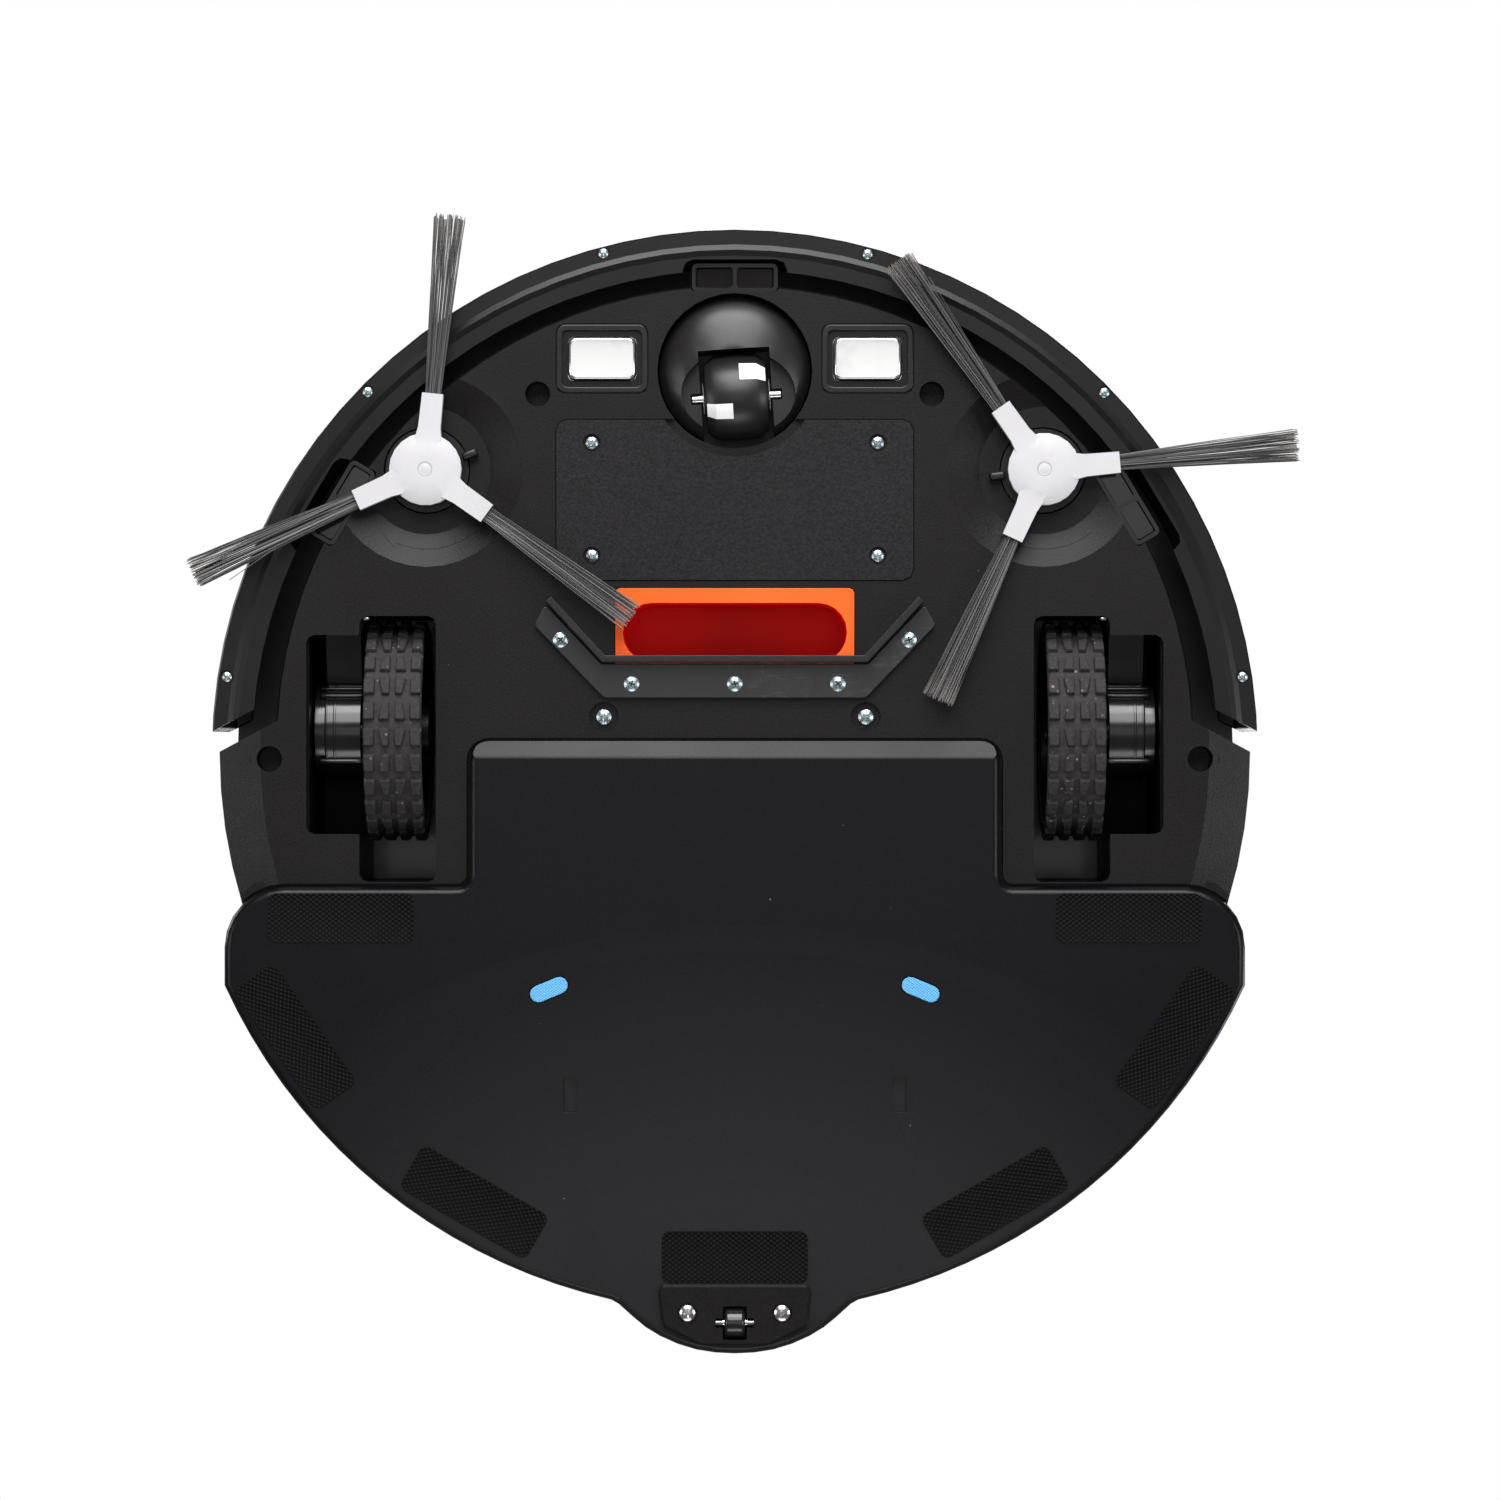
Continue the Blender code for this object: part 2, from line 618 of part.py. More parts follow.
def battery_parts(colours, frame):
    half, front, rear = BATTERY_COVER
    bm = bmesh.new()
    prism(bm, rectangle(-half, half, front, rear, 3.5), 9.4, 12.1)
    lid = make("battery_cover", bm, colours["shell"], frame)
    bm = bmesh.new()
    cylinder(bm, 0, CASTER_Y, SOCKET_RADIUS + WALL + GAP + 0.1, 5, 20, 36)
    for sign in SIDES.values():
        for x, y in BATTERY_SCREWS:
            cylinder(bm, sign * x, y, 3.0, 5, 10.9, 16)
    tool(lid, "lid_recesses", bm)
    bm = bmesh.new()
    for sign in SIDES.values():
        for x, y in BATTERY_SCREWS:
            cylinder(bm, sign * x, y, 1.6, 8, 20, 10)
    tool(lid, "lid_screw_holes", bm)

    bm = bmesh.new()
    prism(bm, rectangle(-41, 41, -96.8, -61.2, 2.5), 12.5, 52.0)
    make("battery_pack", bm, colours["battery"], frame)
    number = 0
    for y_at in (0, 1):
        for sign in SIDES.values():
            number += 1
            x, y = BATTERY_SCREWS[y_at]
            screw(f"battery_cover_screw_{number}", sign * x, y, 9.6, 2.0, 1.0, 1.2, 4.2,
                  colours["steel"], frame)


def board(colours, frame):
    bm = bmesh.new()
    prism(bm, rectangle(-60, 60, -118, -58.5, 3), 58.0, 59.6)
    piece = make("main_board", bm, colours["board"], frame)
    bm = bmesh.new()
    for x0, x1, y0, y1, height in (
        (-18, 2, -100, -80, 1.8),
        (14, 30, -96, -84, 1.4),
        (-50, -34, -112, -98, 7.0),
        (36, 54, -80, -66, 9.0),
        (-48, -30, -78, -66, 5.5),
    ):
        prism(bm, rectangle(x0, x1, y0, y1, 0.6, 1), 59.0, 59.6 + height)
    tool(piece, "board_components", bm, "UNION")


def suction_parts(colours, frame):
    half, front, rear = INLET
    bm = bmesh.new()
    prism(bm, rectangle(-half, half, front, rear, 1.7), UNDERSIDE_Z, 62.0)
    duct = make("suction_inlet", bm, colours["orange"], frame)
    bm = bmesh.new()
    prism(bm, rectangle(-17, 17, rear - 2, BOX_FRONT_Y - GAP - 0.1, 1.5), 44.0, 61.6)
    tool(duct, "duct_spout", bm, "UNION")
    bm = bmesh.new()
    mouth_half, mouth_front, mouth_rear = INLET_MOUTH
    mouth = rectangle(-mouth_half, mouth_half, mouth_front, mouth_rear, 9.6, 5)
    prism(bm, mouth, 0, 60.0)
    tool(duct, "duct_hollow", bm)
    bm = bmesh.new()
    prism(bm, rectangle(-15, 15, -38, -15), 46.0, 59.6)
    tool(duct, "duct_port", bm)

    # the fan stands in the room between the duct and the wheel housing, its neck beside the dust box
    fan_x = WELL[0] - 21.5
    neck = fan_x - BOX_X - 3.5
    bm = bmesh.new()
    lathe(
        bm,
        [(0, 14), (17, 14), (18, 16), (18, 30), (neck, 31.5), (neck, 50), (0, 50)],
        24,
        upright(fan_x, -28),
    )
    make("suction_fan", bm, colours["smoke"], frame)

    top = UNDERSIDE_Z - GAP
    strip = rounded(
        [
            (-63.2, -49.5, 1.5),
            (-44.3, -29.5, 1.0),
            (44.3, -29.5, 1.0),
            (63.2, -49.5, 1.5),
            (66.9, -42.5, 2.0),
            (43.6, -18.2, 3.0),
            (-43.6, -18.2, 3.0),
            (-66.9, -42.5, 2.0),
        ],
        3,
    )
    bm = bmesh.new()
    prism(bm, strip, top - 1.9, top)
    make("scraper_plate", bm, colours["scraper"], frame)

    # the rubber lip hangs just ahead of the plate's front edge and follows its bend
    back = [(-62.7, -50.2), (-44.1, -30.0), (44.1, -30.0), (62.7, -50.2)]
    ahead = [(60.9, -51.8), (43.0, -32.3), (-43.0, -32.3), (-60.9, -51.8)]
    bm = bmesh.new()
    prism(bm, back + ahead, 3.2, top - 0.1)
    make("scraper_lip", bm, colours["rubber"], frame)


def contacts_and_sensors(colours, frame):
    width, depth = CONTACT_SIZE
    for side, sign in SIDES.items():
        at = (sign * CONTACT_X, CONTACT_Y)

        def plate(grow):
            plan = rectangle(-width / 2 - grow, width / 2 + grow, -depth / 2 - grow, depth / 2 + grow, 2.0)
            return [(x + at[0], y + at[1]) for x, y in plan]

        bm = bmesh.new()
        loft(
            bm,
            [
                at_height(plate(-0.6), 9.2),
                at_height(plate(0), 9.8),
                at_height(plate(0), 12.8),
                at_height(plate(1.4), 12.81),
                at_height(plate(1.4), 14.2),
            ],
        )
        make(f"charge_contact_{side}", bm, colours["chrome"], frame)

    for name, (radius, where, heading) in CLIFFS.items():
        cx = radius * math.sin(math.radians(where))
        cy = -radius * math.cos(math.radians(where))
        length, breadth = CLIFF_LENGTH / 2, CLIFF_WIDTH / 2
        case = turned(rectangle(-length, length, -breadth, breadth, 1.6), heading, cx, cy)
        bm = bmesh.new()
        prism(bm, case, 15.0, 27.0)
        holder = make(f"cliff_sensor_{name}", bm, colours["lens"], frame)
        bm = bmesh.new()
        lining = rectangle(-length + 1.4, length - 1.4, -breadth + 1.2, breadth - 1.2, 1.0)
        lining = turned(lining, heading, cx, cy)
        prism(bm, lining, 16.8, 30.0)
        tool(holder, f"cliff_{name}_hollow", bm)
        bm = bmesh.new()
        for shift in (-1, 1):
            pane = rectangle(-6.3, 6.3, -3.4, 3.4, 1.0)
            pane = [(x + shift * 6.9, y) for x, y in pane]
            prism(bm, turned(pane, heading, cx, cy), 12, 20)
        tool(holder, f"cliff_{name}_windows", bm)
        bm = bmesh.new()
        glass = rectangle(-length + 1.7, length - 1.7, -breadth + 1.5, breadth - 1.5, 0.8)
        glass = turned(glass, heading, cx, cy)
        prism(bm, glass, 17.1, 19.0)
        make(f"cliff_lens_{name}", bm, colours["lens"], frame)


def base_screws(colours, frame):
    for side, sign in SIDES.items():
        screw(f"base_screw_{side}", sign * BASE_SCREW[0], BASE_SCREW[1], 10.2, 2.5, 1.5, 1.3, 6.0,
              colours["steel"], frame)


# ---- bumper -------------------------------------------------------------------------------------
def bumper(colours, frame):
    slope = SHOULDER_SLOPE

    def behind():
        near, far = BODY_RADIUS - 37, BODY_RADIUS + 33
        y_near = SHOULDER_Y - 4.0 + slope * (near - SHOULDER_X - 7.6)
        y_far = SHOULDER_Y - 4.0 + slope * (far - SHOULDER_X - 7.6)
        return [(-far, y_far), (-near, y_near), (near, y_near), (far, y_far), (far, 250), (-far, 250)]

    low = BUMPER_RIM_Z + BUMPER_RIM_THICKNESS + GAP
    outer = BUMPER_RADIUS
    profile = [
        (outer - 0.6, low),
        (outer, low + 4.0),
        (outer, BUMPER_TOP_Z - 3.0),
        (outer - 2.4, BUMPER_TOP_Z),
        (outer - 8.0, BUMPER_TOP_Z),
        (outer - 8.0, BUMPER_TOP_Z - 2.0),
        (outer - 2.6, BUMPER_TOP_Z - 3.4),
        (outer - 2.8, low),
    ]
    bm = bmesh.new()
    lathe(bm, profile, 88)
    shell = make("bumper_shell", bm, colours["shell"], frame)
    bm = bmesh.new()
    prism(bm, behind(), 0, 100)
    tool(shell, "shell_ends", bm)

    z0 = BUMPER_RIM_Z
    profile = [
        (BUMPER_RIM_RADIUS, z0 + BUMPER_RIM_THICKNESS),
        (BUMPER_RIM_RADIUS, z0),
        (BEAD_RADIUS - 1.9, z0),
        (BEAD_RADIUS, z0 - 0.8),
        (BEAD_RADIUS + 1.8, z0),
        (outer - 1.2, z0),
        (outer - 0.6, z0 + 0.8),
        (outer - 0.6, z0 + BUMPER_RIM_THICKNESS),
    ]
    bm = bmesh.new()
    lathe(bm, profile, 88)
    rim = make("bumper_rim", bm, colours["shell"], frame)
    bm = bmesh.new()
    prism(bm, behind(), 0, 100)
    tool(rim, "rim_ends", bm)
    bm = bmesh.new()
    for _, where, heading in CLIFFS.values():
        cx = CLIFF_NOTCH_RADIUS * math.sin(math.radians(where if where == 0 else heading))
        cy = -CLIFF_NOTCH_RADIUS * math.cos(math.radians(where if where == 0 else heading))
        notch = rectangle(-17.4, 17.4, 0, 20, 3.5)
        prism(bm, turned(notch, heading, cx, cy), 5, 20)
    tool(rim, "rim_notches", bm)


# ---- drive wheels -------------------------------------------------------------------------------
def drive_module(side, sign, colours, frame):
    near, far, front, rear = WELL
    outside, _, gear_rear = GEAR_WELL
    case = rounded(
        [
            (near - 1.7, front - 2.0, 1.0),
            (far - 3.5, front - 2.0, 0.5),
            (far - 3.5, PIVOT_Y - 8.0, 1.0),
            (outside - 3.2, PIVOT_Y - 8.0, 1.0),
            (outside + 0.3, PIVOT_Y - 1.0, 1.0),
            (outside + 0.9, PIVOT_Y + 7.5, 1.0),
            (outside + 0.9, gear_rear + 2.4, 1.0),
            (far + 2.0, gear_rear + 2.4, 0.5),
            (far + 2.0, rear + 2.4, 1.0),
            (near - 1.7, rear + 2.4, 1.0),
        ],
        2,
    )
    bm = bmesh.new()
    prism(bm, sided(case, sign), UNDERSIDE_Z + WALL + GAP, ROOF_Z - ROOF_THICKNESS - 0.5)
    housing = make(f"drive_housing_{side}", bm, colours["shell"], frame)
    bm = bmesh.new()
    prism(bm, sided(rectangle(near, far + 0.2, front - 0.1, rear + 0.4), sign), 5, ROOF_Z + 10)
    tool(housing, f"tyre_room_{side}", bm)
    bm = bmesh.new()
    prism(bm, sided(rectangle(near - 3.5, far + 4.0, MOP_FRONT_Y - 4.0, rear + 7.0), sign), 5, 16.9)
    tool(housing, f"deck_step_{side}", bm)
    bm = bmesh.new()
    room = [
        (far - 0.1, PIVOT_Y - 6.3),
        (outside - 4.9, PIVOT_Y - 6.3),
        (outside - 1.4, PIVOT_Y + 0.5),
        (outside - 0.8, PIVOT_Y + 7.5),
        (outside - 0.8, gear_rear + 0.5),
        (far - 0.1, gear_rear + 0.5),
    ]
    prism(bm, sided(room, sign), 5, ROOF_Z - ROOF_THICKNESS - 2.1)
    tool(housing, f"arm_room_{side}", bm)
    bm = bmesh.new()
    ends = sorted((sign * (ARM_INNER_X - 7.4), sign * (ARM_INNER_X + 24.6)))
    hole = bore(PIVOT_RADIUS, 16)
    lathe(bm, [(0, 0), (hole, 0), (hole, 32), (0, 32)], 16, along_x(ends[0], PIVOT_Y, PIVOT_Z))
    tool(housing, f"pivot_bore_{side}", bm)

    # gearbox arm with moulded trunnions at the pivot and the wheel's axle at the other end
    wheel_z = TYRE_RADIUS
    bm = bmesh.new()
    neck = hull_outline((PIVOT_Y, PIVOT_Z), 4.6, (WHEEL_Y - 4, wheel_z + 6), 8.0)
    side_prism(bm, neck, sign * ARM_INNER_X, sign * ARM_STEP_X)
    arm = make(f"suspension_arm_{side}", bm, colours["gloss"], frame)
    bm = bmesh.new()
    start = min(sign * ARM_INNER_X, sign * ARM_STEP_X)
    width = ARM_STEP_X - ARM_INNER_X
    case = [(0, 0), (GEARBOX_RADIUS, 0), (GEARBOX_RADIUS, width), (0, width)]
    lathe(bm, case, 36, along_x(start, WHEEL_Y, wheel_z))
    tool(arm, f"gearbox_{side}", bm, "UNION")
    bm = bmesh.new()
    start = min(sign * (ARM_STEP_X - 3), sign * ARM_OUTER_X)
    reach = ARM_OUTER_X - ARM_STEP_X + 3
    drum = [(0, 0), (GEARBOX_RADIUS - 1.0, 0), (GEARBOX_RADIUS - 1.0, reach), (0, reach)]
    lathe(bm, drum, 28, along_x(start, WHEEL_Y, wheel_z))
    start = min(sign * (ARM_INNER_X - 3.5), sign * (ARM_INNER_X + 3))
    stub = 6.5
    shaft = [(0, 0), (PIVOT_RADIUS, 0), (PIVOT_RADIUS, stub), (0, stub)]
    lathe(bm, shaft, 16, along_x(start, PIVOT_Y, PIVOT_Z))
    start = min(sign * (ARM_STEP_X - 3), sign * (ARM_OUTER_X + 1.6))
    stub = ARM_OUTER_X + 1.6 - ARM_STEP_X + 3
    shaft = [(0, 0), (PIVOT_RADIUS, 0), (PIVOT_RADIUS, stub), (0, stub)]
    lathe(bm, shaft, 16, along_x(start, PIVOT_Y, PIVOT_Z))
    inner_end = TYRE_OUTER_X - TYRE_WIDTH + 2.9
    start = min(sign * inner_end, sign * (ARM_INNER_X + 3))
    stub = ARM_INNER_X + 3 - inner_end
    shaft = [(0, 0), (AXLE_RADIUS, 0), (AXLE_RADIUS, stub), (0, stub)]
    lathe(bm, shaft, 20, along_x(start, WHEEL_Y, wheel_z))
    spring_x = sign * (ARM_INNER_X + 6.0)
    cylinder(bm, spring_x, -25.0, 5.4, 34.0, 47.0, 16)
    tool(arm, f"arm_shafts_{side}", bm, "UNION")

    # compression spring between the arm's seat and the housing's roof
    bm = bmesh.new()
    coil(bm, spring_x, -25.0, 3.9, 0.7, 48.2, ROOF_Z - ROOF_THICKNESS - 3.2, 4.5)
    make(f"suspension_spring_{side}", bm, colours["steel"], frame)

    bm = bmesh.new()
    x0 = TYRE_X - TYRE_WIDTH / 2
    x1 = TYRE_X + TYRE_WIDTH / 2
    middle = sign * TYRE_X
    width = (x1 - x0) / 2
    inner = HUB_RADIUS
    hole = bore(AXLE_RADIUS, 28)
    lathe(
        bm,
        [
            (hole, -width + 1.2),
            (8.5, -3.0),
            (inner - 4, -3.0),
            (inner - 3, -width + 1.0),
            (inner, -width + 1.0),
            (inner, width - 1.0),
            (inner - 3, width - 1.0),
            (inner - 4, 3.0),
            (8.5, 3.0),
            (8.5, width + 0.6),
            (hole, width + 0.6),
        ],
        28,
        along_x(middle, WHEEL_Y, wheel_z),
    )
    make(f"wheel_hub_{side}", bm, colours["shell"], frame)
    bm = bmesh.new()
    outer = TYRE_RADIUS
    lathe(
        bm,
        [
            (inner + GAP, -width + 0.6),
            (outer - 3.5, -width),
            (outer, -width + 2.4),
            (outer, width - 2.4),
            (outer - 3.5, width),
            (inner + GAP, width - 0.6),
        ],
        40,
        along_x(middle, WHEEL_Y, wheel_z),
    )
    make(f"tyre_{side}", bm, colours["tyre"], frame)


def coil(bm, x, y, radius, wire, z0, z1, turns, per_turn=10, sides=4):
    """Round-wire helical spring standing on Z, as one tube with closed ends."""
    total = int(turns * per_turn)
    loops = []
    for i in range(total + 1):
        a = 2 * math.pi * i / per_turn
        z = z0 + wire + (z1 - z0 - 2 * wire) * i / total
        centre = Vector((x + radius * math.cos(a), y + radius * math.sin(a), z))
        out = Vector((math.cos(a), math.sin(a), 0))
        up = Vector((0, 0, 1))
        loop = []
        for k in range(sides):
            b = 2 * math.pi * k / sides
            loop.append(centre + out * (wire * math.cos(b)) + up * (wire * math.sin(b)))
        loops.append(loop)
    loft(bm, loops)


# ---- caster -------------------------------------------------------------------------------------
def caster(colours, frame):
    place = upright(0, CASTER_Y) @ Matrix.Rotation(math.radians(CASTER_TURN), 4, "Z")
    axle_z = CASTER_RADIUS
    swivel = bpy.data.objects.new("caster_swivel_axis", None)
    bpy.context.scene.collection.objects.link(swivel)
    swivel.parent = frame
    swivel.matrix_local = place
    rim = SOCKET_RADIUS - 0.6
    bm = bmesh.new()
    lathe(
        bm,
        [
            (0, 6.0),
            (9, 6.3),
            (17, 8.0),
            (22, 10.6),
            (rim, 14.5),
            (rim, FORK_TOP_Z),
            (STEM_RADIUS, FORK_TOP_Z),
            (STEM_RADIUS, FORK_TOP_Z + 6.8),
            (0, FORK_TOP_Z + 6.8),
        ],
        36,
    )
    fork = make("caster_fork", bm, colours["shell"], swivel)
    bm = bmesh.new()
    reach = CASTER_WIDTH / 2 + 0.9
    front = CASTER_TRAIL - CASTER_RADIUS - 0.9
    prism(bm, rectangle(-reach, reach, front, 40, 0), -5, 2 * CASTER_RADIUS + 1.0)
    tool(fork, "fork_pocket", bm)
    bm = bmesh.new()
    length = 15.0
    prism(
        bm,
        rectangle(-length - GAP, length + GAP, CASTER_TRAIL - 1.8, CASTER_TRAIL + 1.8),
        -5,
        axle_z + CASTER_AXLE_RADIUS + 0.2,
    )
    tool(fork, "fork_axle_slot", bm)

    bm = bmesh.new()
    radius = CASTER_AXLE_RADIUS
    lathe(
        bm,
        [
            (0, -length),
            (radius - 0.3, -length),
            (radius, -length + 0.3),
            (radius, length - 0.3),
            (radius - 0.3, length),
            (0, length),
        ],
        16,
        along_x(0, CASTER_TRAIL, axle_z),
    )
    make("caster_axle", bm, colours["steel"], swivel)

    bm = bmesh.new()
    half = CASTER_WIDTH / 2
    hole = bore(radius, 26)
    lathe(
        bm,
        [
            (hole, -half),
            (5.5, -half),
            (6.0, -half + 0.8),
            (CASTER_RADIUS - 3.0, -half + 0.8),
            (CASTER_RADIUS - 0.6, -half + 4.0),
            (CASTER_RADIUS, 0),
            (CASTER_RADIUS - 0.6, half - 4.0),
            (CASTER_RADIUS - 3.0, half - 0.8),
            (6.0, half - 0.8),
            (5.5, half),
            (hole, half),
        ],
        26,
        along_x(0, CASTER_TRAIL, axle_z),
    )
    make("caster_wheel", bm, colours["gloss"], swivel)


# ---- side brushes -------------------------------------------------------------------------------
def side_brush(side, sign, colours, frame):
    spindle = bpy.data.objects.new(f"brush_axis_{side}", None)
    bpy.context.scene.collection.objects.link(spindle)
    spindle.parent = frame
    spindle.location = Vector((sign * BRUSH_X, BRUSH_Y, 0)) * MM

    bm = bmesh.new()
    lathe(
        bm,
        [
            (0, 5.6),
            (3.0, 5.6),
            (3.0, 14.4),
            (MOTOR_RADIUS, 14.4),
            (MOTOR_RADIUS, 28.0),
            (11.0, 29.5),
            (11.0, 44.0),
            (0, 44.0),
        ],
        24,
    )
    make(f"brush_motor_{side}", bm, colours["gloss"], spindle)

    start = BRUSH_TURNS[side]
    bm = bmesh.new()
    lathe(
        bm,
        [
            (0, 3.4),
            (2.2, 3.4),
            (2.4, 2.8),
            (8.0, 2.6),
            (BRUSH_HUB_RADIUS, 4.2),
            (BRUSH_HUB_RADIUS, 8.2),
            (9.4, 8.2),
            (9.4, 5.3),
            (5.6, 5.3),
            (5.6, 9.2),
            (3.3, 9.2),
            (3.3, 5.2),
            (0, 5.2),
        ],
        22,
    )
    hub = make(f"brush_hub_{side}", bm, colours["white"], spindle)
    bm = bmesh.new()
    for k in range(3):
        tip = BRUSH_ARM_REACH
        arm = [(9.9, -4.4), (14.0, -3.7), (tip, -3.5), (tip, 3.5), (14.0, 3.7), (9.9, 4.4)]
        prism(bm, turned(arm, start + 120 * k), 3.6, 8.0)
    tool(hub, f"hub_arms_{side}", bm, "UNION")
    bm = bmesh.new()
    for k in range(3):
        channel = rectangle(8.5, BRUSH_ARM_REACH + 3, -1.9, 1.9)
        prism(bm, turned(channel, start + 120 * k), 5.3, 12)
    tool(hub, f"hub_channels_{side}", bm)

    # each tuft fans out from the arm's end; a three-legged core under the arms ties them together
    bm = bmesh.new()
    for k in range(3):
        loops = []
        for reach, width, middle, depth in (
            (BRUSH_ARM_REACH + 0.4, 5.8, 5.9, 3.8),
            (40.0, 6.2, 5.0, 3.4),
            (60.0, 7.6, 3.5, 2.8),
            (BRISTLE_REACH - 1.5, 10.0, 2.0, 2.0),
            (BRISTLE_REACH, 7.0, 2.0, 1.6),
        ):
            a = math.radians(start + 120 * k)
            out = Vector((math.cos(a), math.sin(a), 0))
            across = Vector((-math.sin(a), math.cos(a), 0))
            loop = []
            for u, v in ((-0.5, 0.0), (-0.35, -0.5), (0.35, -0.5), (0.5, 0.0), (0.35, 0.5), (-0.35, 0.5)):
                loop.append(out * reach + across * (u * width) + Vector((0, 0, middle + v * depth)))
            loops.append(loop)
        loft(bm, loops)
    tufts = make(f"bristles_{side}", bm, colours["bristle"], spindle)
    bm = bmesh.new()
    for k in range(3):
        leg = rectangle(7.0, BRUSH_ARM_REACH + 6, -1.5, 1.5)
        prism(bm, turned(leg, start + 120 * k), 5.7, 7.2)
    tool(tufts, f"core_legs_{side}", bm, "UNION")
    bm = bmesh.new()
    lathe(bm, [(6.0, 5.7), (9.0, 5.7), (9.0, 7.1), (6.0, 7.1)], 14)
    tool(tufts, f"core_ring_{side}", bm, "UNION")


# ---- mop module ---------------------------------------------------------------------------------
def mop_module(colours, frame):
    outline = mop_outline()
    bm = bmesh.new()
    loft(
        bm,
        [
            at_height(inset(outline, 2.6), MOP_Z),
            at_height(inset(outline, 0.9), MOP_Z + 1.0),
            at_height(outline, MOP_Z + 2.6),
            at_height(outline, MOP_TOP_Z),
            at_height(inset(outline, 2.0), MOP_TOP_Z),
            at_height(inset(outline, 2.3), MOP_Z + WALL),
        ],
    )
    plate = make("mop_plate", bm, colours["mop"], frame)
    half = ROLLER_WIDTH / 2 + 0.6
    reach = ROLLER_RADIUS + 0.6
    bm = bmesh.new()
    pocket_front = MOP_RADIUS - 2.8 + GAP
    boss = rectangle(-half - 2, half + 2, pocket_front, ROLLER_Y + reach + 2)
    prism(bm, boss, MOP_Z + 1, MOP_TOP_Z - 0.2)
    edge = MOP_TONGUE_X - 4
    prism(bm, rectangle(-edge, edge, MOP_TONGUE_Y + 1.4, MOP_TONGUE_Y + 5.4), MOP_Z + 1, MOP_Z + 4.6)
    tool(plate, "plate_ribs", bm, "UNION")
    bm = bmesh.new()
    for sign in SIDES.values():
        x, y, tilt = WICK
        capsule = rectangle(-6.6 - GAP, 6.6 + GAP, -2.8 - GAP, 2.8 + GAP, 2.8, 3)
        prism(bm, turned(capsule, sign * tilt, sign * x, y), 0, 10)
        slot = [(52.4, 107.7), (56.9, 107.7), (56.9, 119.3), (52.4, 119.3)]
        prism(bm, sided(slot, sign), 0, 10)
        cylinder(bm, sign * TAIL_SCREW[0], TAIL_SCREW[1], 1.6, 0, 10, 10)
    prism(bm, rectangle(-half, half, ROLLER_Y - reach, ROLLER_Y + reach), 0, MOP_TOP_Z - 1.4)
    tool(plate, "plate_openings", bm)
    bm = bmesh.new()
    ahead = MOP_TONGUE_Y - 3
    behind = MOP_TONGUE_Y + 6.3
    ramp = [(ahead, 0), (behind, 0), (behind, MOP_Z), (ahead, MOP_Z + 5.0)]
    side_prism(bm, ramp, -MOP_TONGUE_X - 2, MOP_TONGUE_X + 2)
    tool(plate, "front_ramp", bm)
    bm = bmesh.new()
    prism(bm, rectangle(-7.6, 7.6, ROLLER_Y - 1.6, ROLLER_Y + 1.6), 0, MOP_Z + 1.6)
    tool(plate, "pin_groove", bm)

    lean = math.degrees(math.acos((TANK_X - 0.5) / (MOP_RADIUS - 2.8)))
    rear = arc(0, 0, MOP_RADIUS - 2.8, lean, 180 - lean, 14)
    bm = bmesh.new()
    prism(bm, [(-TANK_X, 2.0), (TANK_X, 2.0)] + rear, MOP_Z + WALL + GAP, TANK_TOP_Z)
    tank = make("water_tank", bm, colours["smoke"], frame)
    bm = bmesh.new()
    lean = math.degrees(math.acos((TANK_X - 3.4) / (MOP_RADIUS - 12.4)))
    inside = arc(0, 0, MOP_RADIUS - 12.4, lean, 180 - lean, 12)
    prism(bm, [(-TANK_X + 2, 4.2), (TANK_X - 2, 4.2)] + inside, MOP_Z + WALL + GAP + 2, TANK_TOP_Z - 2)
    tool(tank, "tank_hollow", bm)
    bm = bmesh.new()
    cylinder(bm, -40, 158.0, 6.0, 30, 50, 16)
    for sign in SIDES.values():
        x, y, tilt = WICK
        capsule = rectangle(-6.6 - GAP, 6.6 + GAP, -2.8 - GAP, 2.8 + GAP, 2.8, 3)
        prism(bm, turned(capsule, sign * tilt, sign * x, y), 0, 16)
    prism(bm, rectangle(-14.4, 14.4, MOP_RADIUS - 9, MOP_RADIUS + 5), 19.6, 30.4)
    tool(tank, "tank_openings", bm)

    for side, sign in SIDES.items():
        x, y, tilt = WICK
        bm = bmesh.new()
        capsule = rectangle(-6.6, 6.6, -2.8, 2.8, 2.75, 3)
        prism(bm, turned(capsule, sign * tilt, sign * x, y), MOP_Z - 0.5, MOP_Z + 5.2)
        make(f"wick_{side}", bm, colours["wick"], frame)

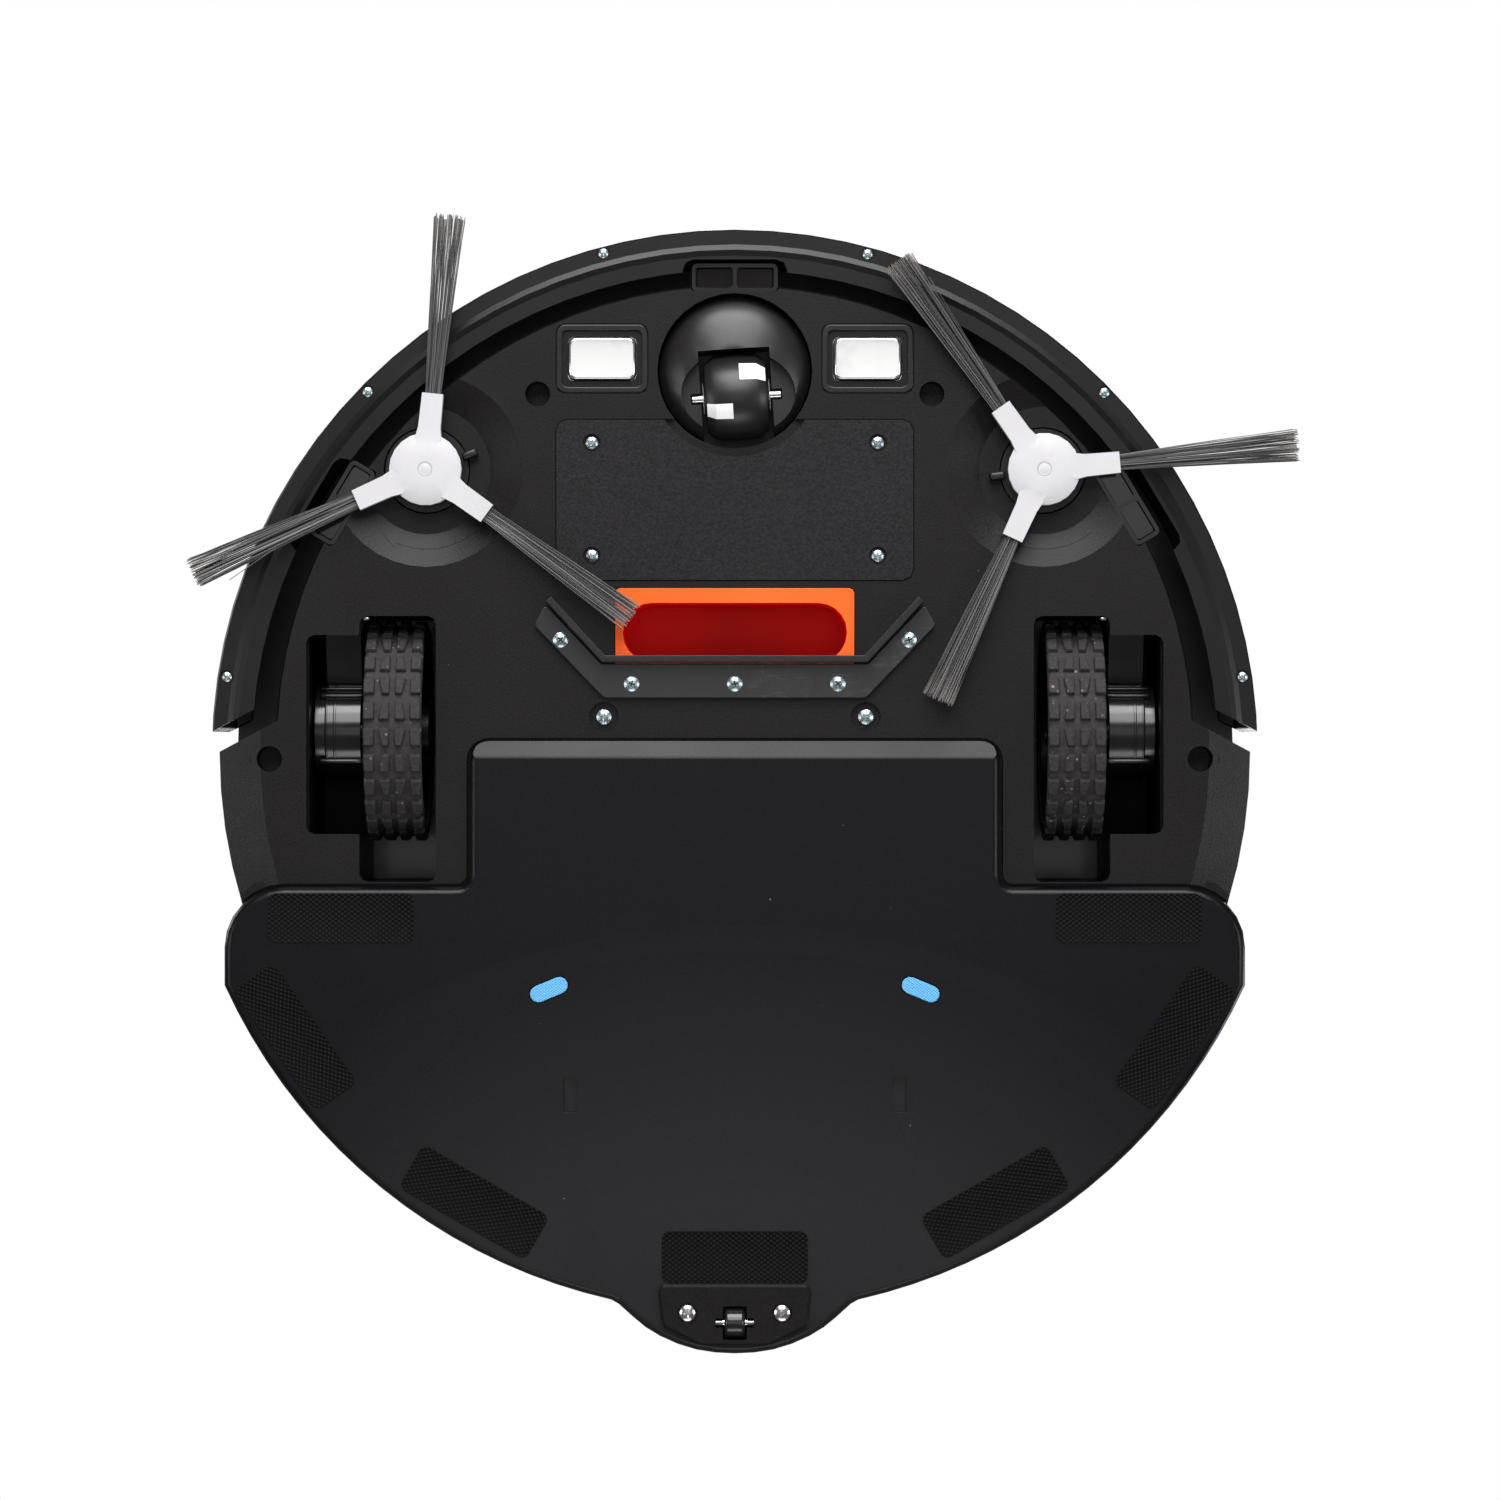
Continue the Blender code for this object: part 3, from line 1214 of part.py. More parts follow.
    # tail cover, roller and pin
    low, high = 2.6, MOP_Z - GAP
    cover_plan = rounded(
        [
            (-25.7, TAIL_END_Y - 23.4, 2.5),
            (25.7, TAIL_END_Y - 23.4, 2.5),
            (24.0, TAIL_END_Y - 9.5, 3.0),
            (11.0, TAIL_END_Y - 3.1, 4.0),
            (-11.0, TAIL_END_Y - 3.1, 4.0),
            (-24.0, TAIL_END_Y - 9.5, 3.0),
        ],
        3,
    )
    bm = bmesh.new()
    edge = at_height(inset(cover_plan, 0.8), low)
    loft(bm, [edge, at_height(cover_plan, low + 0.8), at_height(cover_plan, high)])
    cover = make("tail_cover", bm, colours["mop"], frame)
    bm = bmesh.new()
    for sign in SIDES.values():
        cylinder(bm, sign * TAIL_SCREW[0], TAIL_SCREW[1], 3.4, 0, 3.9, 16)
    prism(bm, rectangle(-half, half, ROLLER_Y - reach, ROLLER_Y + reach), 0, 20)
    tool(cover, "tail_recesses", bm)
    bm = bmesh.new()
    for sign in SIDES.values():
        cylinder(bm, sign * TAIL_SCREW[0], TAIL_SCREW[1], 1.6, 0, 20, 10)
    prism(bm, rectangle(-6.3, 6.3, ROLLER_Y - 1.6, ROLLER_Y + 1.6), 0, 3.6)
    tool(cover, "tail_slots", bm)
    bm = bmesh.new()
    prism(bm, rectangle(-7.6, 7.6, ROLLER_Y - 1.6, ROLLER_Y + 1.6), 3.45, 20)
    tool(cover, "pin_seat", bm)
    for side, sign in SIDES.items():
        screw(f"tail_screw_{side}", sign * TAIL_SCREW[0], TAIL_SCREW[1], 2.5, 3.0, 1.1, 1.2, 6.0,
              colours["steel"], frame)

    radius = 1.25
    bm = bmesh.new()
    lathe(
        bm,
        [(0, -7.2), (radius - 0.2, -7.2), (radius, -7.0), (radius, 7.0), (radius - 0.2, 7.2), (0, 7.2)],
        12,
        along_x(0, ROLLER_Y, ROLLER_RADIUS),
    )
    make("tail_pin", bm, colours["steel"], frame)
    bm = bmesh.new()
    width = ROLLER_WIDTH / 2
    wheel = ROLLER_RADIUS
    hole = bore(radius, 20)
    lathe(
        bm,
        [
            (hole, -width),
            (wheel - 0.8, -width),
            (wheel, -width + 0.8),
            (wheel, width - 0.8),
            (wheel - 0.8, width),
            (hole, width),
        ],
        20,
        along_x(0, ROLLER_Y, ROLLER_RADIUS),
    )
    make("tail_roller", bm, colours["gloss"], frame)

    bm = bmesh.new()
    prism(bm, rectangle(-14, 14, MOP_RADIUS - 6.3, MOP_RADIUS - 0.6, 1.0), 20.0, 30.0)
    make("mop_release_button", bm, colours["gloss"], frame)


# ---- dust box, turret and button ----------------------------------------------------------------
def dust_box(colours, frame):
    z0, z1 = BOX_Z
    lean = math.degrees(math.acos((BOX_X - 0.3) / (BODY_RADIUS - 0.5)))
    rear = arc(0, 0, BODY_RADIUS - 0.5, lean, 180 - lean, 14)
    bm = bmesh.new()
    prism(bm, [(-BOX_X, BOX_FRONT_Y), (BOX_X, BOX_FRONT_Y)] + rear, z0, z1)
    box = make("dust_box", bm, colours["smoke"], frame)
    bm = bmesh.new()
    lean = math.degrees(math.acos((BOX_X - 2.9) / (BODY_RADIUS - 10.5)))
    inside = arc(0, 0, BODY_RADIUS - 10.5, lean, 180 - lean, 14)
    prism(bm, [(-BOX_X + 8, BOX_FRONT_Y + 2), (BOX_X - 8, BOX_FRONT_Y + 2)] + inside, z0 + 1.8, z1 - 1.8)
    tool(box, "box_hollow", bm)
    bm = bmesh.new()
    prism(bm, rectangle(-15, 15, BOX_FRONT_Y - 5, BOX_FRONT_Y + 6), 46.0, 59.6)
    prism(bm, rectangle(BOX_X - 12, BOX_X + 5, -15, 25), 46.0, z1 - 4.0)
    prism(bm, rectangle(-24, 24, BODY_RADIUS - 6.5, BODY_RADIUS + 5, 0), 46.0, 56.0)
    tool(box, "box_openings", bm)

    bm = bmesh.new()
    pleats = []
    count = 8
    y0, y1 = -14.7, 24.7
    for i in range(count):
        y = y0 + (y1 - y0) * i / count
        step = (y1 - y0) / count
        crest, trough = BOX_X - 1.0, BOX_X - 3.2
        pleats += [(crest, y), (crest, y + step * 0.45), (trough, y + step * 0.55), (trough, y + step * 0.95)]
    outline = [(BOX_X - 6.5, y1), (BOX_X - 6.5, y0)] + pleats + [(BOX_X - 1.0, y1)]
    prism(bm, outline, 46.3, z1 - 4.3)
    make("dust_filter", bm, colours["filter"], frame)


def turret(colours, frame):
    base = ROOF_Z + GAP
    radius = TURRET_RADIUS
    bm = bmesh.new()
    lathe(
        bm,
        [
            (radius + 3, base),
            (radius + 3, base + 1.6),
            (radius, base + 3.0),
            (radius - 0.6, TURRET_TOP_Z - 2.0),
            (radius - 3.5, TURRET_TOP_Z),
            (0, TURRET_TOP_Z),
            (0, TURRET_TOP_Z - 2.2),
            (radius - 3.0, TURRET_TOP_Z - 3.0),
            (radius - 2.4, base),
        ],
        36,
        upright(0, TURRET_Y),
    )
    cap = make("lidar_turret", bm, colours["shell"], frame)
    bm = bmesh.new()
    for k in range(4):
        middle = 45 + 90 * k
        sector = arc(0, TURRET_Y, radius + 10, middle - 38, middle + 38, 5)
        sector += arc(0, TURRET_Y, radius - 12, middle + 38, middle - 38, 5)
        prism(bm, sector, base + 3.6, TURRET_TOP_Z - 4.4)
    tool(cap, "turret_windows", bm)

    bm = bmesh.new()
    lathe(
        bm,
        [
            (0, ROOF_Z - 4.7),
            (5, ROOF_Z - 4.7),
            (5, base + 0.8),
            (36, base + 0.8),
            (35, TURRET_TOP_Z - 3.8),
            (0, TURRET_TOP_Z - 3.8),
        ],
        36,
        upright(0, TURRET_Y),
    )
    rotor = make("lidar_rotor", bm, colours["gloss"], frame)
    bm = bmesh.new()
    for x in (-14.0, 10.0):
        eye = [(0, 0), (5.5, 0), (5.5, 20), (0, 20)]
        place = upright(x, TURRET_Y - 26, ROOF_Z + 7.6) @ Matrix.Rotation(math.pi / 2, 4, "X")
        lathe(bm, eye, 16, place)
    tool(rotor, "rotor_eyes", bm)


def power_button(colours, frame):
    under = ROOF_Z - ROOF_THICKNESS
    bm = bmesh.new()
    lathe(
        bm,
        [
            (0, under - 2.6),
            (BUTTON_RADIUS + 1.8, under - 2.6),
            (BUTTON_RADIUS + 1.8, under - GAP),
            (BUTTON_RADIUS, under - GAP),
            (BUTTON_RADIUS, ROOF_Z + 0.5),
            (BUTTON_RADIUS - 0.5, ROOF_Z + 0.9),
            (0, ROOF_Z + 0.8),
        ],
        20,
        upright(0, BUTTON_Y),
    )
    make("power_button", bm, colours["gloss"], frame)


def build():
    clear_scene()
    colours = palette()
    middle = footprint_middle()
    frame = bpy.data.objects.new("footprint_frame", None)
    bpy.context.scene.collection.objects.link(frame)
    frame.location = Vector((-middle[0], -middle[1], 0)) * MM

    bottom_cover(colours, frame)
    top_cover(colours, frame)
    battery_parts(colours, frame)
    board(colours, frame)
    suction_parts(colours, frame)
    contacts_and_sensors(colours, frame)
    base_screws(colours, frame)
    bumper(colours, frame)
    for side, sign in SIDES.items():
        drive_module(side, sign, colours, frame)
        side_brush(side, sign, colours, frame)
    caster(colours, frame)
    mop_module(colours, frame)
    dust_box(colours, frame)
    turret(colours, frame)
    power_button(colours, frame)


build()
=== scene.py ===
"""Looks of a round robot vacuum, seen from below with its front up."""
import json
import math
import random

import bpy
from mathutils import Matrix, Vector

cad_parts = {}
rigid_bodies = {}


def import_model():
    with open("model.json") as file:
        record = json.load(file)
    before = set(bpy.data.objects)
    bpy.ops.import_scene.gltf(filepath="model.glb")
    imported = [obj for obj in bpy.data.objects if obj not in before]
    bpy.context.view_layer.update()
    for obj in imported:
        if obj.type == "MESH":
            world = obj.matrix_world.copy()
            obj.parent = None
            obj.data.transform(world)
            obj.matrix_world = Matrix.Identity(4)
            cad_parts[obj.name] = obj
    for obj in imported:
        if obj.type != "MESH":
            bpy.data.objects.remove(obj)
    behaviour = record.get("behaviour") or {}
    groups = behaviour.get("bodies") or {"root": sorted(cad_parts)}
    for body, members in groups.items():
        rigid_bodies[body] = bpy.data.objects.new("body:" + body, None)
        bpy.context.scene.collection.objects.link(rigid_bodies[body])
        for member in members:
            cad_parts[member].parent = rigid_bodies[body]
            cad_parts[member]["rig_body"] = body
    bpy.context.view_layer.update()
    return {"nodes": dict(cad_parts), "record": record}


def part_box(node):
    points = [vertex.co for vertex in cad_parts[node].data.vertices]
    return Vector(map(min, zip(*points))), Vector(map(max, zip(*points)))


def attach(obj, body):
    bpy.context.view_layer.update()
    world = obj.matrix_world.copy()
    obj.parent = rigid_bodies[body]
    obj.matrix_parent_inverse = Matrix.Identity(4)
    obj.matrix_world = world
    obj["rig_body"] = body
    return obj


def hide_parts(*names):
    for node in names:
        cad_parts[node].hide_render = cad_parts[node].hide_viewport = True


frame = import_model()

MM = 0.001
BODY_RADIUS = 0.175
cover_low, cover_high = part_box("bottom_cover")
middle_x = (cover_low.x + cover_high.x) / 2
middle_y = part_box("bumper_shell")[0].y + BODY_RADIUS
SIDES = {"left": -1, "right": 1}
chance = random.Random(11)


def at(x, y, z):
    """A place in millimetres from the middle of the round body, with the floor at z = 0."""
    return Vector((middle_x + x * MM, middle_y + y * MM, z * MM))


# ---- shared effects ------------------------------------------------------------------------------
def effect(name, inputs, outputs):
    """An empty node group with these named sockets: (group, input node, output node)."""
    group = bpy.data.node_groups.new(name, "ShaderNodeTree")
    for label, kind, value in inputs:
        socket = group.interface.new_socket(name=label, in_out="INPUT", socket_type=kind)
        if value is not None:
            socket.default_value = value
    for label, kind in outputs:
        group.interface.new_socket(name=label, in_out="OUTPUT", socket_type=kind)
    return group, group.nodes.new("NodeGroupInput"), group.nodes.new("NodeGroupOutput")


def maths(tree, operation, first, second=None, third=None, clamp=False):
    """A Math node on these numbers or sockets; what it puts out."""
    node = tree.nodes.new("ShaderNodeMath")
    node.operation = operation
    node.use_clamp = clamp
    for socket, value in zip(node.inputs, (first, second, third)):
        if value is None:
            continue
        if isinstance(value, (int, float)):
            socket.default_value = value
        else:
            tree.links.new(value, socket)
    return node.outputs[0]


def vector_maths(tree, operation, first, second=None):
    """A Vector Math node on a socket and, where it takes two, a plain vector; all that it puts out."""
    node = tree.nodes.new("ShaderNodeVectorMath")
    node.operation = operation
    tree.links.new(first, node.inputs[0])
    if second is not None:
        node.inputs[1].default_value = second
    return node.outputs


def moulded_grain():
    """Fine spark-eroded texture with a slow drift of tone."""
    group, given, out = effect(
        "moulded grain",
        [("Place", "NodeSocketVector", None), ("Grain Scale", "NodeSocketFloat", 1500.0)],
        [("Height", "NodeSocketFloat"), ("Tone", "NodeSocketFloat"), ("Drift", "NodeSocketFloat")],
    )
    fine = group.nodes.new("ShaderNodeTexNoise")
    fine.inputs["Detail"].default_value = 2.0
    group.links.new(given.outputs["Place"], fine.inputs["Vector"])
    group.links.new(given.outputs["Grain Scale"], fine.inputs["Scale"])
    group.links.new(fine.outputs["Fac"], out.inputs["Height"])
    group.links.new(maths(group, "MULTIPLY_ADD", fine.outputs["Fac"], 2.2, -0.6, True), out.inputs["Tone"])
    slow = group.nodes.new("ShaderNodeTexNoise")
    slow.inputs["Scale"].default_value = 26.0
    slow.inputs["Detail"].default_value = 3.0
    group.links.new(given.outputs["Place"], slow.inputs["Vector"])
    group.links.new(maths(group, "MULTIPLY_ADD", slow.outputs["Fac"], 2.0, -0.5, True), out.inputs["Drift"])
    return group


def dust_specks():
    """A few pale flecks of dust, each in a cell of its own."""
    group, given, out = effect(
        "dust specks",
        [
            ("Place", "NodeSocketVector", None),
            ("Cells", "NodeSocketFloat", 130.0),
            ("Radius", "NodeSocketFloat", 0.035),
            ("Share", "NodeSocketFloat", 0.2),
        ],
        [("Mask", "NodeSocketFloat")],
    )
    cells = group.nodes.new("ShaderNodeTexVoronoi")
    group.links.new(given.outputs["Place"], cells.inputs["Vector"])
    group.links.new(given.outputs["Cells"], cells.inputs["Scale"])
    split = group.nodes.new("ShaderNodeSeparateColor")
    group.links.new(cells.outputs["Color"], split.inputs[0])
    chosen = maths(group, "LESS_THAN", split.outputs[0], given.outputs["Share"])
    size = maths(group, "MULTIPLY", given.outputs["Radius"], split.outputs[1])
    near = maths(group, "LESS_THAN", cells.outputs["Distance"], size)
    faint = maths(group, "MULTIPLY", chosen, split.outputs[2])
    group.links.new(maths(group, "MULTIPLY", near, faint), out.inputs["Mask"])
    return group


def rubbed_marks():
    """Long thin scratches that run in several directions, with hazy rubbed patches."""
    group, given, out = effect(
        "rubbed marks",
        [("Place", "NodeSocketVector", None), ("Length", "NodeSocketFloat", 60.0)],
        [("Lines", "NodeSocketFloat"), ("Haze", "NodeSocketFloat")],
    )
    lines = None
    for turn, squeeze in ((0.15, 16.0), (-0.55, 12.0), (1.2, 14.0)):
        mapping = group.nodes.new("ShaderNodeMapping")
        mapping.inputs["Rotation"].default_value = (0, 0, turn)
        mapping.inputs["Scale"].default_value = (1.0, squeeze, 1.0)
        group.links.new(given.outputs["Place"], mapping.inputs["Vector"])
        noise = group.nodes.new("ShaderNodeTexNoise")
        noise.inputs["Detail"].default_value = 1.0
        noise.inputs["Distortion"].default_value = 0.4
        group.links.new(mapping.outputs[0], noise.inputs["Vector"])
        group.links.new(given.outputs["Length"], noise.inputs["Scale"])
        off = maths(group, "ABSOLUTE", maths(group, "SUBTRACT", noise.outputs["Fac"], 0.5))
        line = maths(group, "MULTIPLY_ADD", off, -90.0, 1.0, True)
        lines = line if lines is None else maths(group, "MAXIMUM", lines, line)
    haze = group.nodes.new("ShaderNodeTexNoise")
    haze.inputs["Scale"].default_value = 70.0
    haze.inputs["Detail"].default_value = 4.0
    group.links.new(given.outputs["Place"], haze.inputs["Vector"])
    patch = maths(group, "MULTIPLY_ADD", haze.outputs["Fac"], 4.0, -2.0, True)
    group.links.new(maths(group, "MULTIPLY", lines, patch), out.inputs["Lines"])
    group.links.new(patch, out.inputs["Haze"])
    return group


def staggered_dots():
    """Small raised dots in staggered rows, for hook tape and felt."""
    group, given, out = effect(
        "staggered dots",
        [
            ("Place", "NodeSocketVector", None),
            ("Across", "NodeSocketFloat", 3000.0),
            ("Along", "NodeSocketFloat", 2400.0),
        ],
        [("Height", "NodeSocketFloat")],
    )
    split = group.nodes.new("ShaderNodeSeparateXYZ")
    group.links.new(given.outputs["Place"], split.inputs[0])
    across = maths(group, "SINE", maths(group, "MULTIPLY", split.outputs[0], given.outputs["Across"]))
    along = maths(group, "SINE", maths(group, "MULTIPLY", split.outputs[1], given.outputs["Along"]))
    both = maths(group, "MULTIPLY", across, along)
    group.links.new(maths(group, "MULTIPLY_ADD", both, 0.9, 0.25, True), out.inputs["Height"])
    return group


GRAIN = moulded_grain()
SPECKS = dust_specks()
MARKS = rubbed_marks()
DOTS = staggered_dots()


# ---- finishes ------------------------------------------------------------------------------------
# The colour sockets of a Mix node that mixes RGBA.
MIX_FROM = 6
MIX_TO = 7
MIX_RESULT = 2
DUST_COLOUR = (0.22, 0.20, 0.18)
GRAIN_HEIGHT = 0.00012
ROUGHNESS_SPREAD = 0.05


class Finish:
    """A material with one Principled shader, built up in layers."""

    def __init__(self, name, colour, roughness, metallic=0.0, specular=0.5):
        self.name = name
        self.material = bpy.data.materials.new(name)
        self.material.use_nodes = True
        self.material.diffuse_color = (*colour, 1.0)
        self.tree = self.material.node_tree
        self.shader = self.tree.nodes["Principled BSDF"]
        self.shader.inputs["Base Color"].default_value = (*colour, 1.0)
        self.shader.inputs["Roughness"].default_value = roughness
        self.shader.inputs["Metallic"].default_value = metallic
        self.shader.inputs["Specular IOR Level"].default_value = specular
        self.place = self.tree.nodes.new("ShaderNodeTexCoord").outputs["Object"]
        self.colour = None
        self.base = colour

    def add(self, group, **values):
        node = self.tree.nodes.new("ShaderNodeGroup")
        node.node_tree = group
        self.tree.links.new(self.place, node.inputs["Place"])
        for label, value in values.items():
            node.inputs[label.replace("_", " ")].default_value = value
        return node.outputs

    def tint(self, mask, colour, blend="MIX"):
        """Turns the base colour towards this one, or adds this one to it, where mask is 1."""
        mix = self.tree.nodes.new("ShaderNodeMix")
        mix.data_type = "RGBA"
        mix.blend_type = blend
        self.tree.links.new(mask, mix.inputs["Factor"])
        if self.colour is None:
            mix.inputs[MIX_FROM].default_value = (*self.base, 1.0)
        else:
            self.tree.links.new(self.colour, mix.inputs[MIX_FROM])
        mix.inputs[MIX_TO].default_value = (*colour, 1.0)
        self.colour = mix.outputs[MIX_RESULT]
        self.tree.links.new(self.colour, self.shader.inputs["Base Color"])
        return self

    def roughness(self, mask, low, high):
        spread = maths(self.tree, "MULTIPLY_ADD", mask, high - low, low)
        self.tree.links.new(spread, self.shader.inputs["Roughness"])
        return self

    def bump(self, mouth_painted_shade, strength, distance):
        node = self.tree.nodes.new("ShaderNodeBump")
        node.inputs["Strength"].default_value = strength
        node.inputs["Distance"].default_value = distance
        self.tree.links.new(mouth_painted_shade, node.inputs["Height"])
        normal = self.shader.inputs["Normal"]
        if normal.is_linked:
            self.tree.links.new(normal.links[0].from_socket, node.inputs["Normal"])
        self.tree.links.new(node.outputs[0], normal)
        return self


def moulded_plastic(name, colour, lighter, roughness, specular, grain, depth, share=0.16):
    """Moulded plastic: grain in the surface and tone, a slow drift and a little dust."""
    made = Finish(name, colour, roughness, specular=specular)
    texture = made.add(GRAIN, Grain_Scale=grain)
    made.tint(texture["Tone"], lighter)
    made.roughness(texture["Drift"], roughness - ROUGHNESS_SPREAD, roughness + ROUGHNESS_SPREAD)
    if share:
        dust = made.add(SPECKS, Share=share)
        made.tint(dust["Mask"], DUST_COLOUR)
    made.bump(texture["Height"], depth, GRAIN_HEIGHT)
    return made


def grained(
    name, colour, roughness, grain, tint, mask="Tone", metallic=0.0, specular=0.5, gloss=None, bump=None
):
    """A finish with one grain that tints it.

    gloss is its lowest and highest roughness; bump is the relief's mask, strength and distance.
    """
    made = Finish(name, colour, roughness, metallic, specular)
    texture = made.add(GRAIN, Grain_Scale=grain)
    if gloss:
        made.roughness(texture[mask], *gloss)
    made.tint(texture[mask], tint)
    if bump:
        relief, strength, distance = bump
        made.bump(texture[relief], strength, distance)
    return made


def dotted(name, colour, roughness, specular, pitch, tint, bump, place=None):
    """A finish with raised dots at this pitch across and along, in metres.

    bump is the dots' strength and distance, and place another node than Object coordinates to lie on.
    """
    made = Finish(name, colour, roughness, specular=specular)
    if place:
        made.place = made.tree.nodes.new(place).outputs[0]
    across, along = pitch
    dots = made.add(DOTS, Across=2.0 * math.pi / across, Along=2.0 * math.pi / along)
    made.tint(dots["Height"], tint)
    made.bump(dots["Height"], *bump)
    return made


def let_light_in(made, weight, radius):
    """Lets light a little way into a pale or bright plastic."""
    made.shader.inputs["Subsurface Weight"].default_value = weight
    made.shader.inputs["Subsurface Radius"].default_value = radius
    return made


def roof_finish():
    """Plastic under a thin clear coat."""
    made = moulded_plastic(
        "roof black", (0.0120, 0.0115, 0.0125), (0.0160, 0.0155, 0.0165), 0.30, 0.5, 2200.0, 0.1, 0.1
    )
    made.shader.inputs["Coat Weight"].default_value = 0.25
    made.shader.inputs["Coat Roughness"].default_value = 0.12
    return made


MOP_ARC_MIDDLE = (0.0, 311.3, 5.0)
MOP_ARC_RADIUS = 0.2539
# How fast the painted light behind the arc fades in, per metre.
MOP_PAINTED_LIGHT_FADE = 11.0
MOP_LEDGE = 120.0


def mop_finish():
    """Navy plastic with painted light that makes it greyer behind an arc across the plate, and a small ledge
    along it.
    """
    made = moulded_plastic(
        "mop plate navy", (0.0018, 0.0016, 0.0034), (0.0040, 0.0038, 0.0062), 0.32, 0.22, 1500.0, 0.2, 0.3
    )
    tree = made.tree
    away = vector_maths(tree, "SUBTRACT", made.place, at(*MOP_ARC_MIDDLE))[0]
    flat = vector_maths(tree, "MULTIPLY", away, (1.0, 1.0, 0.0))[0]
    reach = vector_maths(tree, "LENGTH", flat)["Value"]
    # Painted light: an added grey that lightens the plate behind the arc, towards its rear.
    painted_light_rearward = maths(tree, "MULTIPLY_ADD", reach, -MOP_PAINTED_LIGHT_FADE, MOP_PAINTED_LIGHT_FADE * MOP_ARC_RADIUS, True)
    ledge = maths(tree, "MULTIPLY_ADD", reach, -MOP_LEDGE, MOP_LEDGE * MOP_ARC_RADIUS, True)
    made.bump(ledge, 0.5, 0.0004)
    return made.tint(painted_light_rearward, (0.0130, 0.0122, 0.0124), "ADD")


def polished_finish():
    """Glossy plastic with faint waves in it and a little dust."""
    made = Finish("polished black", (0.0090, 0.0080, 0.0085), 0.16, specular=0.6)
    texture = made.add(GRAIN, Grain_Scale=420.0)
    made.roughness(texture["Drift"], 0.10, 0.24)
    dust = made.add(SPECKS, Share=0.12)
    made.tint(dust["Mask"], (0.12, 0.11, 0.10))
    return made.bump(texture["Drift"], 0.12, 0.0006)


def scraper_finish():
    """A worn plate, hazy where it's rubbed, with fine pale scratches."""
    made = Finish("scraper plate", (0.0185, 0.0170, 0.0182), 0.28, specular=0.42)
    marks = made.add(MARKS, Length=46.0)
    made.tint(marks["Haze"], (0.034, 0.032, 0.033))
    made.tint(marks["Lines"], (0.10, 0.095, 0.09))
    made.roughness(marks["Haze"], 0.24, 0.40)
    return made.bump(marks["Lines"], 0.3, 0.00005)


def tyre_finish():
    """Matt rubber with grit in it."""
    made = Finish("tyre rubber", (0.020, 0.018, 0.0195), 0.78, specular=0.35)
    texture = made.add(GRAIN, Grain_Scale=900.0)
    made.tint(texture["Tone"], (0.040, 0.036, 0.038))
    grit = made.add(SPECKS, Cells=620.0, Radius=0.34, Share=0.26)
    made.tint(grit["Mask"], (0.24, 0.20, 0.175))
    return made.bump(texture["Height"], 0.6, 0.0003)


def contact_finish():
    """Bright plated metal with a few hairline marks."""
    made = Finish("plated contact", (0.97, 0.965, 0.96), 0.10, metallic=1.0)
    marks = made.add(MARKS, Length=70.0)
    made.roughness(marks["Haze"], 0.07, 0.14)
    return made.tint(marks["Lines"], (0.90, 0.89, 0.88))


def strand_finish():
    """Nylon from black to pale, strand by strand, with a pale tip."""
    made = Finish("nylon strands", (0.030, 0.029, 0.031), 0.42, specular=0.35)
    shade = made.tree.nodes.new("ShaderNodeAttribute")
    shade.attribute_name = "strand"
    split = made.tree.nodes.new("ShaderNodeSeparateColor")
    made.tree.links.new(shade.outputs["Color"], split.inputs[0])
    made.tint(split.outputs[0], (0.235, 0.226, 0.226))
    tip = maths(made.tree, "MULTIPLY_ADD", split.outputs[1], 5.0, -4.2, True)
    return made.tint(tip, (0.19, 0.172, 0.158))


def inlet_finish():
    """Bright orange, with painted shade that deepens it to red up in the mouth."""
    made = Finish("inlet orange", (0.98, 0.125, 0.018), 0.36, specular=0.16)
    texture = made.add(GRAIN, Grain_Scale=700.0)
    made.tint(texture["Drift"], (1.0, 0.150, 0.026))
    split = made.tree.nodes.new("ShaderNodeSeparateXYZ")
    made.tree.links.new(made.place, split.inputs[0])
    # Painted shade: deep red that grows higher up in the mouth, where the orange lies in shade.
    mouth_painted_shade = maths(made.tree, "MULTIPLY_ADD", split.outputs[2], 400.0, -4.12, True)
    made.tint(mouth_painted_shade, (0.86, 0.0012, 0.0))
    made.bump(texture["Height"], 0.15, 0.0001)
    return let_light_in(made, 0.12, (0.004, 0.001, 0.0004))


